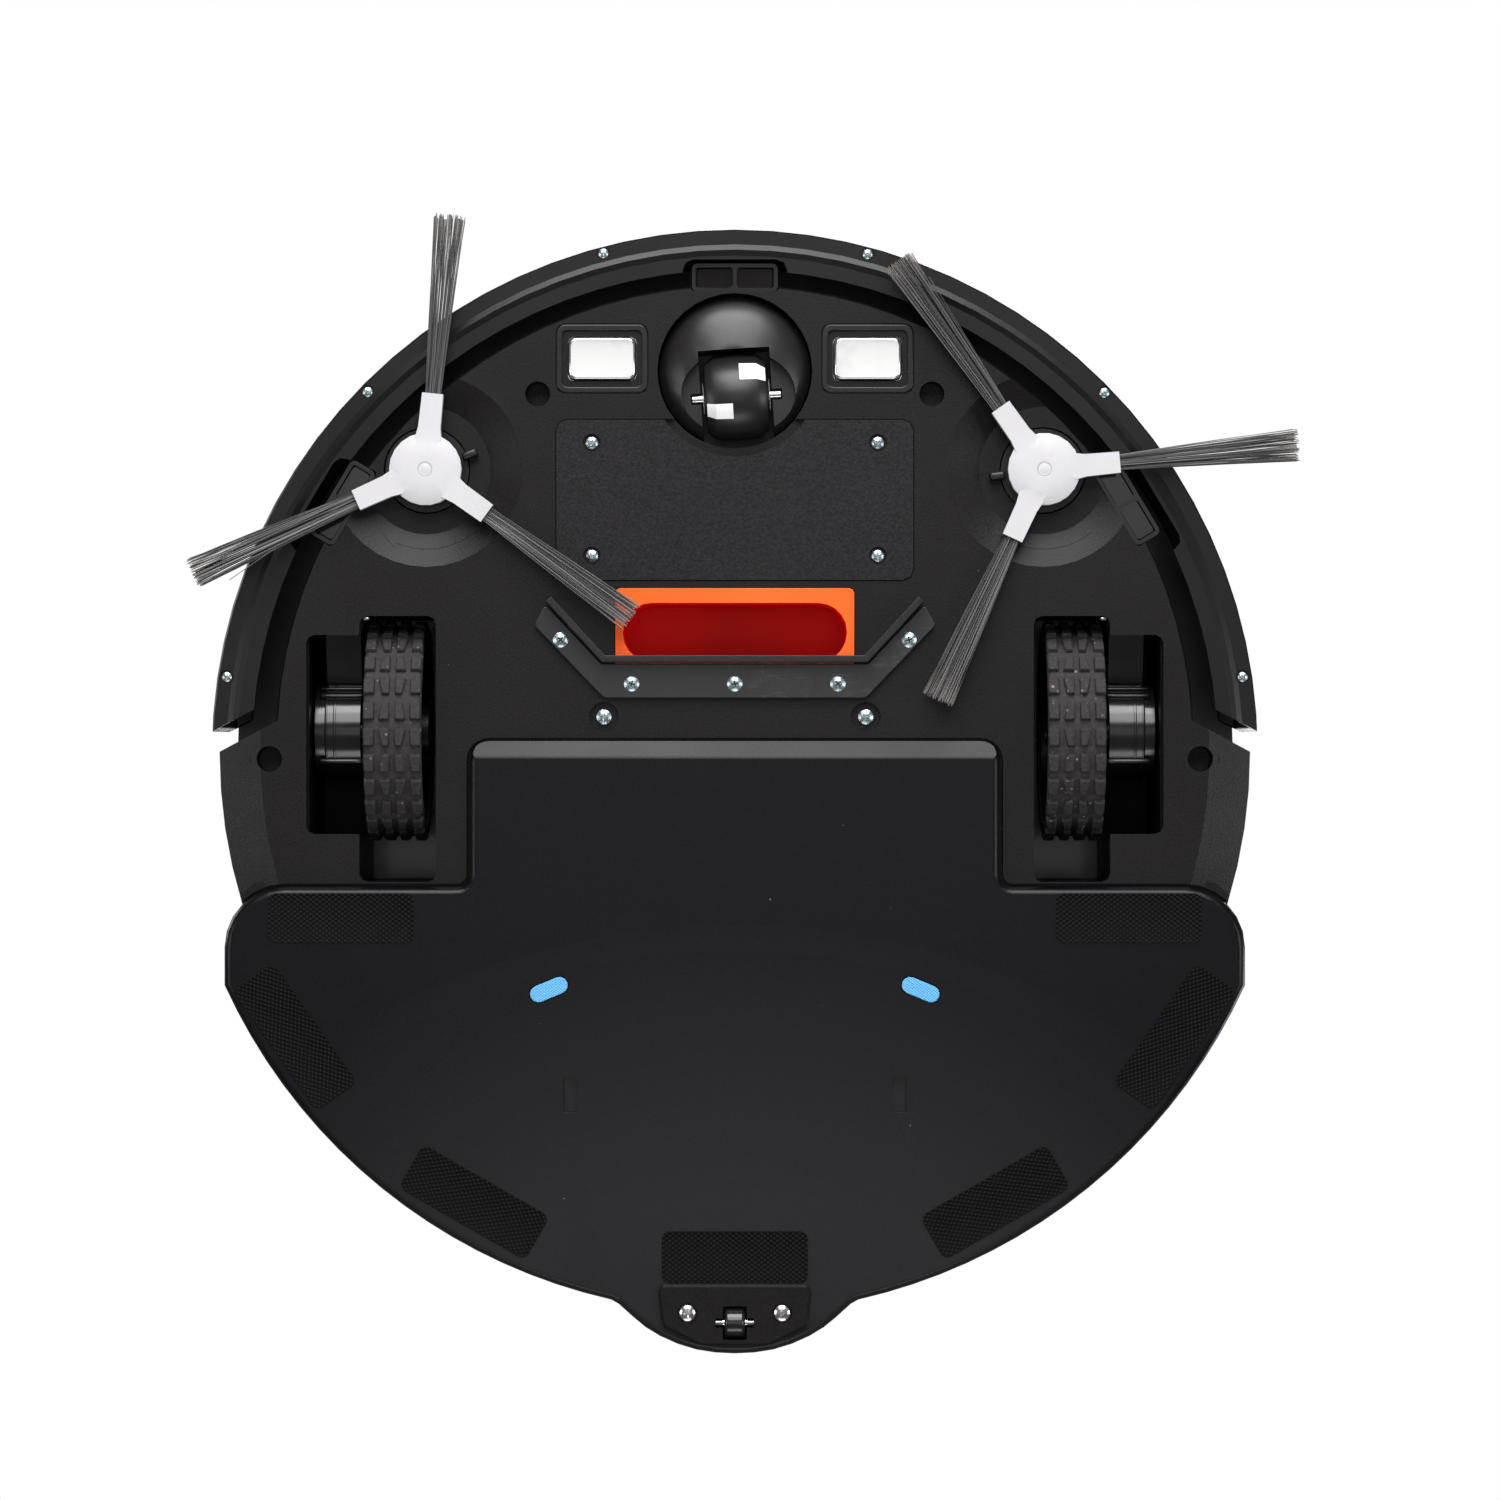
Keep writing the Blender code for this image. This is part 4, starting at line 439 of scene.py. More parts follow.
def make_finishes():
    """Every finish of the cleaner by its name."""
    made = [
        # colour, lighter grain, roughness, specular, grain scale, grain depth, share of dust
        moulded_plastic(
            "chassis black", (0.0050, 0.0042, 0.0046), (0.0100, 0.0084, 0.0092), 0.37, 0.23, 1300.0, 0.42
        ),
        moulded_plastic(
            "cover black", (0.0036, 0.0031, 0.0038), (0.0165, 0.0145, 0.0170), 0.42, 0.24, 1100.0, 0.60
        ),
        moulded_plastic(
            "bumper black", (0.0054, 0.0045, 0.0049), (0.0090, 0.0076, 0.0082), 0.33, 0.30, 1900.0, 0.2, 0.1
        ),
        moulded_plastic(
            "bezel black", (0.0080, 0.0068, 0.0072), (0.0110, 0.0094, 0.0100), 0.30, 0.42, 900.0, 0.18, 0.06
        ),
        # Painted shade: a darker, duller black for the drive housings down in the wheel wells.
        moulded_plastic(
            "well shade black", (0.0016, 0.0014, 0.0015), (0.0030, 0.0027, 0.0028), 0.42, 0.10, 900.0, 0.2, 0.05
        ),
        moulded_plastic(
            "socket black", (0.0085, 0.0074, 0.0080), (0.0115, 0.0100, 0.0108), 0.34, 0.5, 1200.0, 0.12, 0.05
        ),
        moulded_plastic(
            "lip rubber", (0.010, 0.009, 0.009), (0.016, 0.014, 0.014), 0.36, 0.4, 700.0, 0.15, 0.0
        ),
        roof_finish(),
        mop_finish(),
        polished_finish(),
        scraper_finish(),
        tyre_finish(),
        contact_finish(),
        strand_finish(),
        inlet_finish(),
        dotted(
            "hook tape", (0.0012, 0.0011, 0.0012), 0.62, 0.10, (0.0021, 0.0016), (0.0125, 0.0112, 0.0116),
            (0.9, 0.0004), place="ShaderNodeUVMap",
        ),
        dotted(
            "wick felt", (0.115, 0.42, 0.76), 0.92, 0.2, (0.0011, 0.0009), (0.22, 0.56, 0.90), (0.7, 0.0003)
        ),
        grained(
            "zinc screw", (0.56, 0.63, 0.66), 0.30, 1300.0, (0.34, 0.45, 0.49), metallic=1.0,
            bump=("Height", 0.5, 0.0002),
        ),
        grained(
            "bright steel", (0.72, 0.71, 0.70), 0.22, 900.0, (0.60, 0.585, 0.57), metallic=1.0,
            bump=("Height", 0.3, 0.0001),
        ),
        let_light_in(
            grained(
                "hub white", (0.555, 0.545, 0.57), 0.42, 600.0, (0.59, 0.58, 0.605), "Drift", specular=0.35,
                bump=("Height", 0.12, 0.0001),
            ),
            0.08, (0.0012, 0.0010, 0.0009),
        ),
        grained(
            "infrared window", (0.0045, 0.0030, 0.0034), 0.07, 300.0, (0.0060, 0.0040, 0.0044), "Drift",
            specular=0.6, gloss=(0.05, 0.12),
        ),
        grained("encoder white", (0.95, 0.95, 0.95), 0.30, 900.0, (0.92, 0.92, 0.92)),
        grained(
            "smoked box", (0.0050, 0.0054, 0.0068), 0.20, 240.0, (0.0080, 0.0088, 0.0110), "Drift",
            specular=0.35, gloss=(0.14, 0.28),
        ),
        grained("circuit board", (0.012, 0.085, 0.032), 0.42, 350.0, (0.020, 0.120, 0.050)),
        grained(
            "battery wrap", (0.022, 0.060, 0.20), 0.34, 120.0, (0.030, 0.080, 0.25), "Drift",
            bump=("Drift", 0.2, 0.0005),
        ),
        grained(
            "filter paper", (0.74, 0.75, 0.73), 0.9, 900.0, (0.64, 0.65, 0.62), specular=0.2,
            bump=("Height", 0.6, 0.0003),
        ),
    ]
    return {finish.name: finish.material for finish in made}


FINISHES = make_finishes()


# ---- modelling helpers ---------------------------------------------------------------------------
def clear_choice():
    bpy.ops.object.select_all(action="DESELECT")


def choose(*pieces):
    clear_choice()
    for piece in pieces:
        piece.select_set(True)
    bpy.context.view_layer.objects.active = pieces[0]


def settle(piece):
    """Puts the piece's place, turn and size into its mesh."""
    choose(piece)
    bpy.ops.object.transform_apply(location=True, rotation=True, scale=True)
    return piece


def pick(piece, wanted):
    """Opens the piece in edit mode with only the faces that wanted(centre, normal) accepts."""
    choose(piece)
    bpy.ops.object.mode_set(mode="EDIT")
    bpy.ops.mesh.select_mode(type="FACE")
    bpy.ops.mesh.select_all(action="DESELECT")
    bpy.ops.object.mode_set(mode="OBJECT")
    for face in piece.data.polygons:
        face.select = bool(wanted(face.center, face.normal))
    bpy.ops.object.mode_set(mode="EDIT")


def faces_down(centre, normal):
    return normal.z < -0.9


def faces_up(centre, normal):
    return normal.z > 0.9


def done_editing():
    bpy.ops.object.mode_set(mode="OBJECT")


def step_in(border, rise):
    """Insets the picked faces by a border and moves them up, both in mm."""
    bpy.ops.mesh.inset(thickness=border * MM)
    bpy.ops.transform.translate(value=(0, 0, rise * MM))


def face_outwards(piece):
    """Points every face of a closed piece outwards."""
    choose(piece)
    bpy.ops.object.mode_set(mode="EDIT")
    bpy.ops.mesh.select_all(action="SELECT")
    bpy.ops.mesh.normals_make_consistent(inside=False)
    bpy.ops.object.mode_set(mode="OBJECT")


def turned_about(place, degrees, axis="Z"):
    """The turn by this angle about an axis through this place."""
    turn = Matrix.Rotation(math.radians(degrees), 4, axis)
    return Matrix.Translation(place) @ turn @ Matrix.Translation(-place)


def give_modifier(piece, kind, **settings):
    """Adds a modifier with these settings and applies it."""
    choose(piece)
    modifier = piece.modifiers.new(kind.lower(), kind)
    for label, value in settings.items():
        setattr(modifier, label, value)
    bpy.ops.object.modifier_apply(modifier=modifier.name)
    return piece


def ease_edges(piece, width, segments=2, angle=34.0):
    """Rounds the edges sharper than this angle, by a width in mm."""
    return give_modifier(
        piece, "BEVEL", width=width * MM, segments=segments, limit_method="ANGLE",
        angle_limit=math.radians(angle), use_clamp_overlap=True, harden_normals=False,
        miter_outer="MITER_SHARP",
    )


def smooth(piece, degrees=32.0, flat_faces=False):
    """Smooth shading up to an angle; flat_faces keeps large flat faces flat beside their rounded edges."""
    choose(piece)
    bpy.ops.object.shade_smooth_by_angle(angle=math.radians(degrees))
    if flat_faces:
        give_modifier(piece, "WEIGHTED_NORMAL", mode="FACE_AREA", weight=100, keep_sharp=True)
    return piece


def carve(piece, cutter):
    """Cuts the cutter out of the piece, and removes the cutter."""
    give_modifier(piece, "BOOLEAN", operation="DIFFERENCE", solver="EXACT", object=cutter)
    bpy.data.objects.remove(cutter)
    return piece


def slab(name, size, place, turn=0.0):
    """A block of this size in mm about this place, turned about +Z."""
    clear_choice()
    bpy.ops.mesh.primitive_cube_add(size=1.0, location=place, rotation=(0, 0, math.radians(turn)))
    piece = bpy.context.object
    piece.name = name
    piece.scale = [s * MM for s in size]
    return settle(piece)


def drum(name, radius, depth, place, vertices=32, along="Z"):
    """A round bar of this radius and depth in mm about this place, lying along X, Y or Z."""
    clear_choice()
    turn = {"Z": (0, 0, 0), "X": (0, math.pi / 2, 0), "Y": (math.pi / 2, 0, 0)}[along]
    bpy.ops.mesh.primitive_cylinder_add(
        vertices=vertices, radius=radius * MM, depth=depth * MM, location=place, rotation=turn
    )
    piece = bpy.context.object
    piece.name = name
    return settle(piece)


def twin(piece, name, matrix=Matrix.Identity(4)):
    """A copy with a mesh of its own, moved by this matrix."""
    copy = piece.copy()
    copy.data = piece.data.copy()
    copy.name = name
    bpy.context.scene.collection.objects.link(copy)
    copy.data.transform(matrix)
    return copy


def together(name, pieces):
    """The pieces joined into one under this name."""
    choose(*pieces)
    if len(pieces) > 1:
        bpy.ops.object.join()
    piece = bpy.context.object
    piece.name = name
    return piece


def dress(piece, finish, body, slot, *stands_for):
    """Gives a finished piece its material and its body, and hides the CAD nodes that it stands for."""
    piece.data.materials.clear()
    piece.data.materials.append(FINISHES[finish])
    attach(piece, body)
    if stands_for:
        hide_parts(*stands_for)
    return piece


def merged_copy(node):
    """A copy of a CAD node with its loose triangles joined up again."""
    source = frame["nodes"][node]
    piece = source.copy()
    piece.data = source.data.copy()
    piece.name = node + "_eased"
    piece.parent = None
    for label in list(piece.keys()):
        del piece[label]
    bpy.context.scene.collection.objects.link(piece)
    choose(piece)
    bpy.ops.object.mode_set(mode="EDIT")
    bpy.ops.mesh.select_mode(type="VERT")
    bpy.ops.mesh.select_all(action="SELECT")
    bpy.ops.mesh.remove_doubles(threshold=0.002 * MM)
    bpy.ops.mesh.customdata_custom_splitnormals_clear()
    bpy.ops.mesh.dissolve_limited(angle_limit=math.radians(0.6))
    bpy.ops.object.mode_set(mode="OBJECT")
    return piece


def eased(node, finish, width, segments=2, shading=32.0, change=None):
    """Stands for a CAD node: the same shape with its sharp edges rounded by a width in mm."""
    piece = merged_copy(node)
    if change:
        change(piece)
    if width:
        ease_edges(piece, width, segments)
    smooth(piece, shading, flat_faces=True)
    slots = {part["node"]: part["material_slot"] for part in frame["record"]["subparts"]}
    body = frame["nodes"][node]["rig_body"]
    return dress(piece, finish, body, slots[node], node)


# ---- screws --------------------------------------------------------------------------------------
PATTERN_RADIUS = 10.0
PATTERN_CROWN = 2.7
BATTERY_SCREWS = ((-47.6, -103.1), (47.6, -103.1), (-47.6, -65.5), (47.6, -65.5))
SCRAPER_SCREWS = ((-57.9, -37.5), (57.9, -37.5), (-34.3, -22.9), (34.3, -22.9), (0.0, -22.9))
BUMPER_SCREWS = (
    (-122.4, -120.2), (-43.8, -166.4), (44.3, -166.1), (123.2, -119.9), (-169.3, -25.2), (169.3, -25.2)
)


def screw_pattern():
    """A pan head of 10 mm radius with a cross recess, its face down; it is scaled for each screw."""
    head = drum("screw_pattern", PATTERN_RADIUS, 7.0, Vector((0, 0, 3.5 * MM)), 32)
    pick(head, faces_down)
    step_in(3.2, -2.0)
    step_in(3.2, -0.7)
    done_editing()
    for turn in (0.0, 90.0):
        bar = slab("bar", (10.4, 2.1, 5.6), Vector((0, 0, -1.2 * MM)), turn)
        pick(bar, faces_up)
        bpy.ops.transform.resize(value=(0.55, 0.75, 1.0) if turn == 0 else (0.75, 0.55, 1.0))
        done_editing()
        carve(head, bar)
    ease_edges(head, 0.35, 1, 30.0)
    return smooth(head, 28.0)


def screw_head(name, pattern, radius, x, y, face_z, turn):
    """A screw whose face is at face_z, turned by an angle in degrees."""
    size = radius / PATTERN_RADIUS
    middle = at(x, y, face_z + PATTERN_CROWN * size)
    place = Matrix.Translation(middle) @ Matrix.Rotation(math.radians(turn), 4, "Z")
    return twin(pattern, name, place @ Matrix.Diagonal((size, size, size, 1.0)))


def add_screws():
    """The heads of the CAD's own screws, and those that only show as heads."""
    pattern = screw_pattern()
    made = []
    for number, (x, y) in enumerate(BATTERY_SCREWS, 1):
        made.append((f"battery_cover_screw_{number}", 2.15, x, y, 9.7, 21.0 * number, "chassis"))
    for side, sign in SIDES.items():
        made.append((f"base_screw_{side}", 2.5, sign * 43.6, -11.9, 10.2, 15.0 * sign + 30, "chassis"))
        made.append((f"tail_screw_{side}", 3.0, sign * 15.7, 185.9, 2.7, 22.0 * sign + 10, "mop_module"))
    for name, radius, x, y, face, turn, body in made:
        piece = screw_head(name + "_head", pattern, radius, x, y, face, turn)
        dress(piece, "bright steel" if body == "mop_module" else "zinc screw", body, "steel", name)
    for number, (x, y) in enumerate(SCRAPER_SCREWS, 1):
        piece = screw_head(f"scraper_screw_{number}", pattern, 2.55, x, y, 7.1, 13.0 + 31.0 * number)
        dress(piece, "zinc screw", "chassis", "steel")
    for number, (x, y) in enumerate(BUMPER_SCREWS, 1):
        piece = screw_head(f"bumper_screw_{number}", pattern, 1.6, x, y, 11.75, 10.0 + 37.0 * number)
        dress(piece, "zinc screw", "bumper", "steel")
    for side, sign in SIDES.items():
        piece = screw_head(f"deep_screw_{side}", pattern, 2.4, sign * 155.0, 2.1, 24.0, 20.0)
        dress(piece, "zinc screw", "chassis", "steel")
    bpy.data.objects.remove(pattern)


# ---- tyres ---------------------------------------------------------------------------------------
TREAD_HEIGHT = 1.9
TREAD_ROWS = 26
TREAD_COLUMNS = (-7.75, -2.7, 2.7, 7.75)
RIM_ROOM_RADIUS = 30.3


def tread_block(name, width, length, lean):
    """One rubber block about the origin; where lean isn't 0, its +Y end is narrower and shifted by that."""
    block = slab(name, (width, length, TREAD_HEIGHT), Vector((0, 0, 0)))
    pick(block, faces_up)
    bpy.ops.transform.resize(value=(0.84, 0.90, 1.0))
    done_editing()
    if lean:
        pick(block, lambda centre, normal: normal.y > 0.5)
        bpy.ops.transform.resize(value=(0.66, 1.0, 1.0))
        bpy.ops.transform.translate(value=(lean * MM, 0, 0))
        done_editing()
    return ease_edges(block, 0.28, 1, 30.0)


def add_tyres():
    """A rounded carcass with rows of blocks round it for each drive wheel."""
    outer = tread_block("outer_block", 3.9, 6.0, 0.0)
    inner = tread_block("inner_block", 3.9, 6.2, 0.55)
    for side in SIDES:
        low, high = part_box(f"tyre_{side}")
        hub = (low + high) / 2
        radius = (high.z - low.z) / 2 / MM
        half = (high.x - low.x) / 2 / MM
        carcass = drum(f"carcass_{side}", radius - 1.5, 2 * half - 0.8, hub, 96, "X")
        pick(carcass, lambda centre, normal: abs(normal.x) > 0.9)
        bpy.ops.mesh.inset(thickness=2.2 * MM, use_individual=True)
        done_editing()
        carve(carcass, drum("hub_room", RIM_ROOM_RADIUS, 40.0, hub, 96, "X"))
        ease_edges(carcass, 1.3, 3, 50.0)
        blocks = [carcass]
        for row in range(TREAD_ROWS):
            for column, offset in enumerate(TREAD_COLUMNS):
                flip = row % 2 == 1
                mirror = offset > 0
                pattern = outer if column in (0, 3) else inner
                turn = 2 * math.pi * (row + 0.25) / TREAD_ROWS
                around = Matrix.Translation(hub) @ Matrix.Rotation(turn, 4, "X")
                lift = Matrix.Translation((offset * MM, 0, (radius - 1.0) * MM))
                shape = Matrix.Diagonal((-1.0 if mirror else 1.0, -1.0 if flip else 1.0, 1.0, 1.0))
                block = twin(pattern, "block", around @ lift @ shape)
                if mirror != flip:
                    block.data.flip_normals()
                blocks.append(block)
        tyre = together(f"tyre_{side}_treaded", blocks)
        smooth(tyre, 40.0)
        dress(tyre, "tyre rubber", f"wheel_{side}", "tyre", f"tyre_{side}")
    bpy.data.objects.remove(outer)
    bpy.data.objects.remove(inner)


# ---- side brushes --------------------------------------------------------------------------------
BRUSH_TURNS = {"left": -84.3, "right": -5.2}
HUB_MIDDLE = {"left": (-102.7, -94.1), "right": (102.7, -94.1)}
TUFTS = 3
TUFT_STRANDS = 92
TUFT_ROOT = 24.2
TUFT_HEIGHT = 5.9
TUFT_HALF_WIDTH = 2.5
TUFT_HALF_DEPTH = 1.1
STRAY_LENGTH = 50.0
# How far the first strands of the untidy tuft stand away from it.
STRAY_FANS = (9.0, 4.0, 3.0)
LOWEST_STRAND = 1.05


def strand_pattern():
    """A straight strand one unit long along +X with four sides and six joints."""
    clear_choice()
    bpy.ops.mesh.primitive_cylinder_add(vertices=4, radius=1.0, depth=1.0, rotation=(0, math.pi / 2, 0))
    strand = bpy.context.object
    strand.name = "strand_pattern"
    settle(strand)
    choose(strand)
    for cut in (-0.3, -0.1, 0.1, 0.3):
        bpy.ops.object.mode_set(mode="EDIT")
        bpy.ops.mesh.select_all(action="SELECT")
        bpy.ops.mesh.bisect(plane_co=(cut, 0, 0), plane_no=(1, 0, 0))
        bpy.ops.object.mode_set(mode="OBJECT")
    return strand


def add_bristles():
    """Three fanned tufts of single strands on each side brush."""
    pattern = strand_pattern()
    corners = [v.co.copy() for v in pattern.data.vertices]
    for side in SIDES:
        x, y = HUB_MIDDLE[side]
        strands = []
        for tuft in range(TUFTS):
            turn = math.radians(BRUSH_TURNS[side] + 360 // TUFTS * tuft)
            stray_tuft = side == "left" and tuft == TUFTS - 1
            for number in range(TUFT_STRANDS):
                strand = twin(pattern, "strand")
                across = chance.uniform(-1, 1)
                up = chance.uniform(-1, 1)
                stray = number == 0
                root = Vector((TUFT_ROOT, across * TUFT_HALF_WIDTH, TUFT_HEIGHT + up * TUFT_HALF_DEPTH))
                length = chance.uniform(58.6, 60.6) if not stray else STRAY_LENGTH
                fan = across * chance.uniform(2.0, 2.9) + chance.uniform(-0.35, 0.35)
                if stray_tuft and number < len(STRAY_FANS):
                    fan -= STRAY_FANS[number]
                bow = chance.uniform(-0.5, 0.5)
                drop = -3.1 + up * chance.uniform(0.0, 0.9) - chance.uniform(0.0, 0.4)
                thick = chance.uniform(0.11, 0.17)
                shade = chance.random() ** 1.6
                ring = Matrix.Rotation(chance.uniform(0, 1.5), 3, "X")
                paint = strand.data.color_attributes.new("strand", "FLOAT_COLOR", "POINT")
                for index, corner in enumerate(corners):
                    along = min(1.0, max(0.0, corner.x + 0.5))
                    side_step = ring @ Vector((0, corner.y, corner.z)) * thick
                    place = root + Vector((
                        along * length,
                        fan * along ** 1.2 + bow * math.sin(math.pi * along),
                        drop * along,
                    )) + side_step
                    strand.data.vertices[index].co = Vector((
                        place.x * math.cos(turn) - place.y * math.sin(turn) + x,
                        place.x * math.sin(turn) + place.y * math.cos(turn) + y,
                        max(place.z, LOWEST_STRAND),
                    )) * MM + Vector((middle_x, middle_y, 0))
                    paint.data[index].color = (shade, along, 0.0, 1.0)
                strands.append(strand)
        brush = together(f"brush_strands_{side}", strands)
        dress(brush, "nylon strands", f"brush_{side}", "bristle", f"bristles_{side}")
    bpy.data.objects.remove(pattern)


def add_hub_marks():
    """The button moulded in the middle of each side brush."""
    for side in SIDES:
        x, y = HUB_MIDDLE[side]
        cap = drum(f"hub_button_{side}", 2.25, 0.5, at(x, y, 3.0), 40)
        pick(cap, faces_down)
        step_in(0.45, 0.16)
        step_in(0.25, -0.10)
        done_editing()
        ease_edges(cap, 0.08, 2, 30.0)
        smooth(cap)
        dress(cap, "hub white", f"brush_{side}", "white")


# ---- mop plate -----------------------------------------------------------------------------------
def unwrap_flat(piece, x, y, turn):
    """Lays the piece's UV map flat, in metres, from its middle and along its own direction."""
    if not piece.data.uv_layers:
        piece.data.uv_layers.new(name="UVMap")
    layer = piece.data.uv_layers.active.data
    c, s = math.cos(math.radians(turn)), math.sin(math.radians(turn))
    middle = at(x, y, 0)
    for loop in piece.data.loops:
        away = piece.data.vertices[loop.vertex_index].co - middle
        layer[loop.index].uv = (away.x * c + away.y * s, -away.x * s + away.y * c)


def round_corners(piece, radius):
    """Rounds the upright edges of a slab."""
    choose(piece)
    bpy.ops.object.mode_set(mode="EDIT")
    bpy.ops.mesh.select_mode(type="EDGE")
    bpy.ops.mesh.select_all(action="DESELECT")
    bpy.ops.object.mode_set(mode="OBJECT")
    for edge in piece.data.edges:
        a, b = (piece.data.vertices[i].co for i in edge.vertices)
        edge.select = abs(a.z - b.z) > 0.3 * MM
    bpy.ops.object.mode_set(mode="EDIT")
    bpy.ops.mesh.bevel(offset=radius * MM, segments=5, affect="EDGES")
    bpy.ops.object.mode_set(mode="OBJECT")


# Where each pad lies, its turn in degrees, its length and its width.
HOOK_PADS = (
    (-130.8, 54.9, 0.0, 48.3, 16.4), (130.8, 54.9, 0.0, 48.3, 16.4),
    (-146.0, 94.3, 54.9, 48.3, 16.4), (146.0, 94.3, 125.1, 48.3, 16.4),
    (-86.5, 149.1, 29.9, 48.3, 16.4), (86.5, 149.1, 150.1, 48.3, 16.4),
    (0.0, 167.4, 0.0, 48.4, 17.0),
)


def add_hook_pads():
    """The pads of hook tape that hold the mop cloth."""
    for number, (x, y, turn, length, width) in enumerate(HOOK_PADS, 1):
        pad = slab(f"hook_pad_{number}", (length, width, 0.9), at(x, y, 5.02), turn)
        round_corners(pad, 2.6)
        pick(pad, faces_down)
        step_in(0.45, 0.10)
        step_in(0.35, 0.12)
        done_editing()
        ease_edges(pad, 0.09, 2, 20.0)
        smooth(pad, 30.0)
        unwrap_flat(pad, x, y, turn)
        dress(pad, "hook tape", "mop_module", "mop")


# ---- rotation arrows -----------------------------------------------------------------------------
ARROW_START = {"left": 38.0, "right": 52.0}
ARROW_RADIUS = 25.6
ARROW_SWEEP = 74
HEAD_WIDENING = 3.4
HEAD_STEPS = 6
SAME_PLACE = 1e-7


def add_arrows(floor_of_dish):
    """A raised curved arrow in each brush's dish, for the way it turns."""
    for side in SIDES:
        x, y = HUB_MIDDLE[side]
        centre = at(x, y, -4.0)
        clear_choice()
        bpy.ops.mesh.primitive_grid_add(x_subdivisions=2, y_subdivisions=3, size=1.0)
        arrow = bpy.context.object
        arrow.name = f"turn_arrow_{side}"
        arrow.scale = (1.3 * MM, 0.6 * MM, 1.0)
        arrow.location = centre + Vector((ARROW_RADIUS * MM, 0, 0))
        settle(arrow)
        pick(arrow, lambda middle, normal: True)
        bpy.ops.mesh.select_mode(type="EDGE")
        bpy.ops.object.mode_set(mode="OBJECT")
        top = max(v.co.y for v in arrow.data.vertices)
        for face in arrow.data.polygons:
            face.select = False
        for edge in arrow.data.edges:
            edge.select = all(abs(arrow.data.vertices[i].co.y - top) < SAME_PLACE for i in edge.vertices)
        for vertex in arrow.data.vertices:
            vertex.select = abs(vertex.co.y - top) < SAME_PLACE
        bpy.ops.object.mode_set(mode="EDIT")
        bpy.ops.mesh.spin(steps=44, angle=-math.radians(ARROW_SWEEP), center=centre, axis=(0, 0, 1))
        bpy.ops.mesh.extrude_region_move()
        bpy.ops.transform.resize(value=(HEAD_WIDENING, HEAD_WIDENING, 1.0))
        for left in range(HEAD_STEPS, 0, -1):
            bpy.ops.mesh.extrude_region_move()
            bpy.ops.transform.rotate(value=-math.radians(2.0), orient_axis="Z", center_override=centre)
            shrink = (left - 1) / left if left > 1 else 0.02
            bpy.ops.transform.resize(value=(shrink, shrink, 1.0))
        bpy.ops.mesh.select_all(action="SELECT")
        bpy.ops.mesh.remove_doubles(threshold=0.00001)
        done_editing()
        arrow.data.transform(turned_about(centre, ARROW_START[side]))
        give_modifier(
            arrow, "SHRINKWRAP", target=floor_of_dish, wrap_method="PROJECT", use_project_z=True,
            use_negative_direction=False, use_positive_direction=True,
        )
        face_outwards(arrow)
        give_modifier(arrow, "SOLIDIFY", thickness=0.36 * MM, offset=0.0)
        smooth(arrow, 30.0)
        dress(arrow, "chassis black", "chassis", "shell")


# ---- caster --------------------------------------------------------------------------------------
CASTER_TURN = -3.8
# Where each patch starts round the wheel and its sweep, in degrees, then its two edges in mm.
ENCODER_PATCHES = {
    "right_front": (45.0, 26.0, 1.4, 9.9),
    "left_rear": (102.0, 21.0, -9.9, -1.4),
    "right_top": (262.0, 40.0, 1.6, 9.6),
    "left_top": (235.0, 40.0, -9.4, -1.6),
}


def crown_drop(x):
    """How far the caster wheel's crown has dropped at this distance from its middle, in mm."""
    return 0.6 * (abs(x) / 7.0) if abs(x) < 7.0 else 0.6 + (abs(x) - 7.0) * 0.75


def add_caster_marks():
    """White encoder patches on the caster wheel, and its white end discs."""
    low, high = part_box("caster_wheel")
    axle = (low + high) / 2
    turn = Matrix.Rotation(math.radians(CASTER_TURN), 4, "Z")
    radius = (high.z - low.z) / 2 / MM
    for name, (begin, sweep, x0, x1) in ENCODER_PATCHES.items():
        clear_choice()
        bpy.ops.mesh.primitive_grid_add(x_subdivisions=10, y_subdivisions=1, size=1.0)
        patch = bpy.context.object
        patch.name = f"encoder_patch_{name}"
        patch.scale = ((x1 - x0) * MM, 1.0 * MM, 1.0)
        patch.location = ((x0 + x1) / 2 * MM, 0, 0)
        settle(patch)
        choose(patch)
        bpy.ops.object.mode_set(mode="EDIT")
        bpy.ops.mesh.select_all(action="SELECT")
        bpy.ops.mesh.subdivide(number_cuts=9)
        bpy.ops.object.mode_set(mode="OBJECT")
        for vertex in patch.data.vertices:
            x = vertex.co.x / MM
            r = radius - crown_drop(x) + 0.10
            angle = math.radians(begin + sweep * (vertex.co.y / MM + 0.5) - 180.0)
            vertex.co = (x * MM, r * math.cos(angle) * MM, r * math.sin(angle) * MM)
        patch.data.transform(Matrix.Translation(axle) @ turn)
        give_modifier(patch, "SOLIDIFY", thickness=0.22 * MM, offset=0.0)
        face_outwards(patch)
        smooth(patch, 35.0)
        dress(patch, "encoder white", "caster_roller", "white")
    for name, end in SIDES.items():
        disc = drum(f"caster_disc_{name}", 5.3, 0.9, Vector((0, 0, 0)), 40, "X")
        carve(disc, drum("axle_room", 1.62, 4.0, Vector((0, 0, 0)), 32, "X"))
        ease_edges(disc, 0.25, 2, 40.0)
        disc.data.transform(Matrix.Translation(axle) @ turn @ Matrix.Translation((end * 10.65 * MM, 0, 0)))
        smooth(disc)
        dress(disc, "encoder white", "caster_roller", "white")


# ---- drive gearbox -------------------------------------------------------------------------------
# Distance from the middle of the body, radius and width of each rib.
GEARBOX_RIBS = ((134.2, 16.85, 0.9), (136.9, 16.9, 0.5))
GEARBOX_BAR_TURNS = (-58.0, -46.0, 38.0)
GEARBOX_BAR_X = 132.0
GEARBOX_BAR_DROP = 16.6
GEARBOX_RADIUS = 15.2


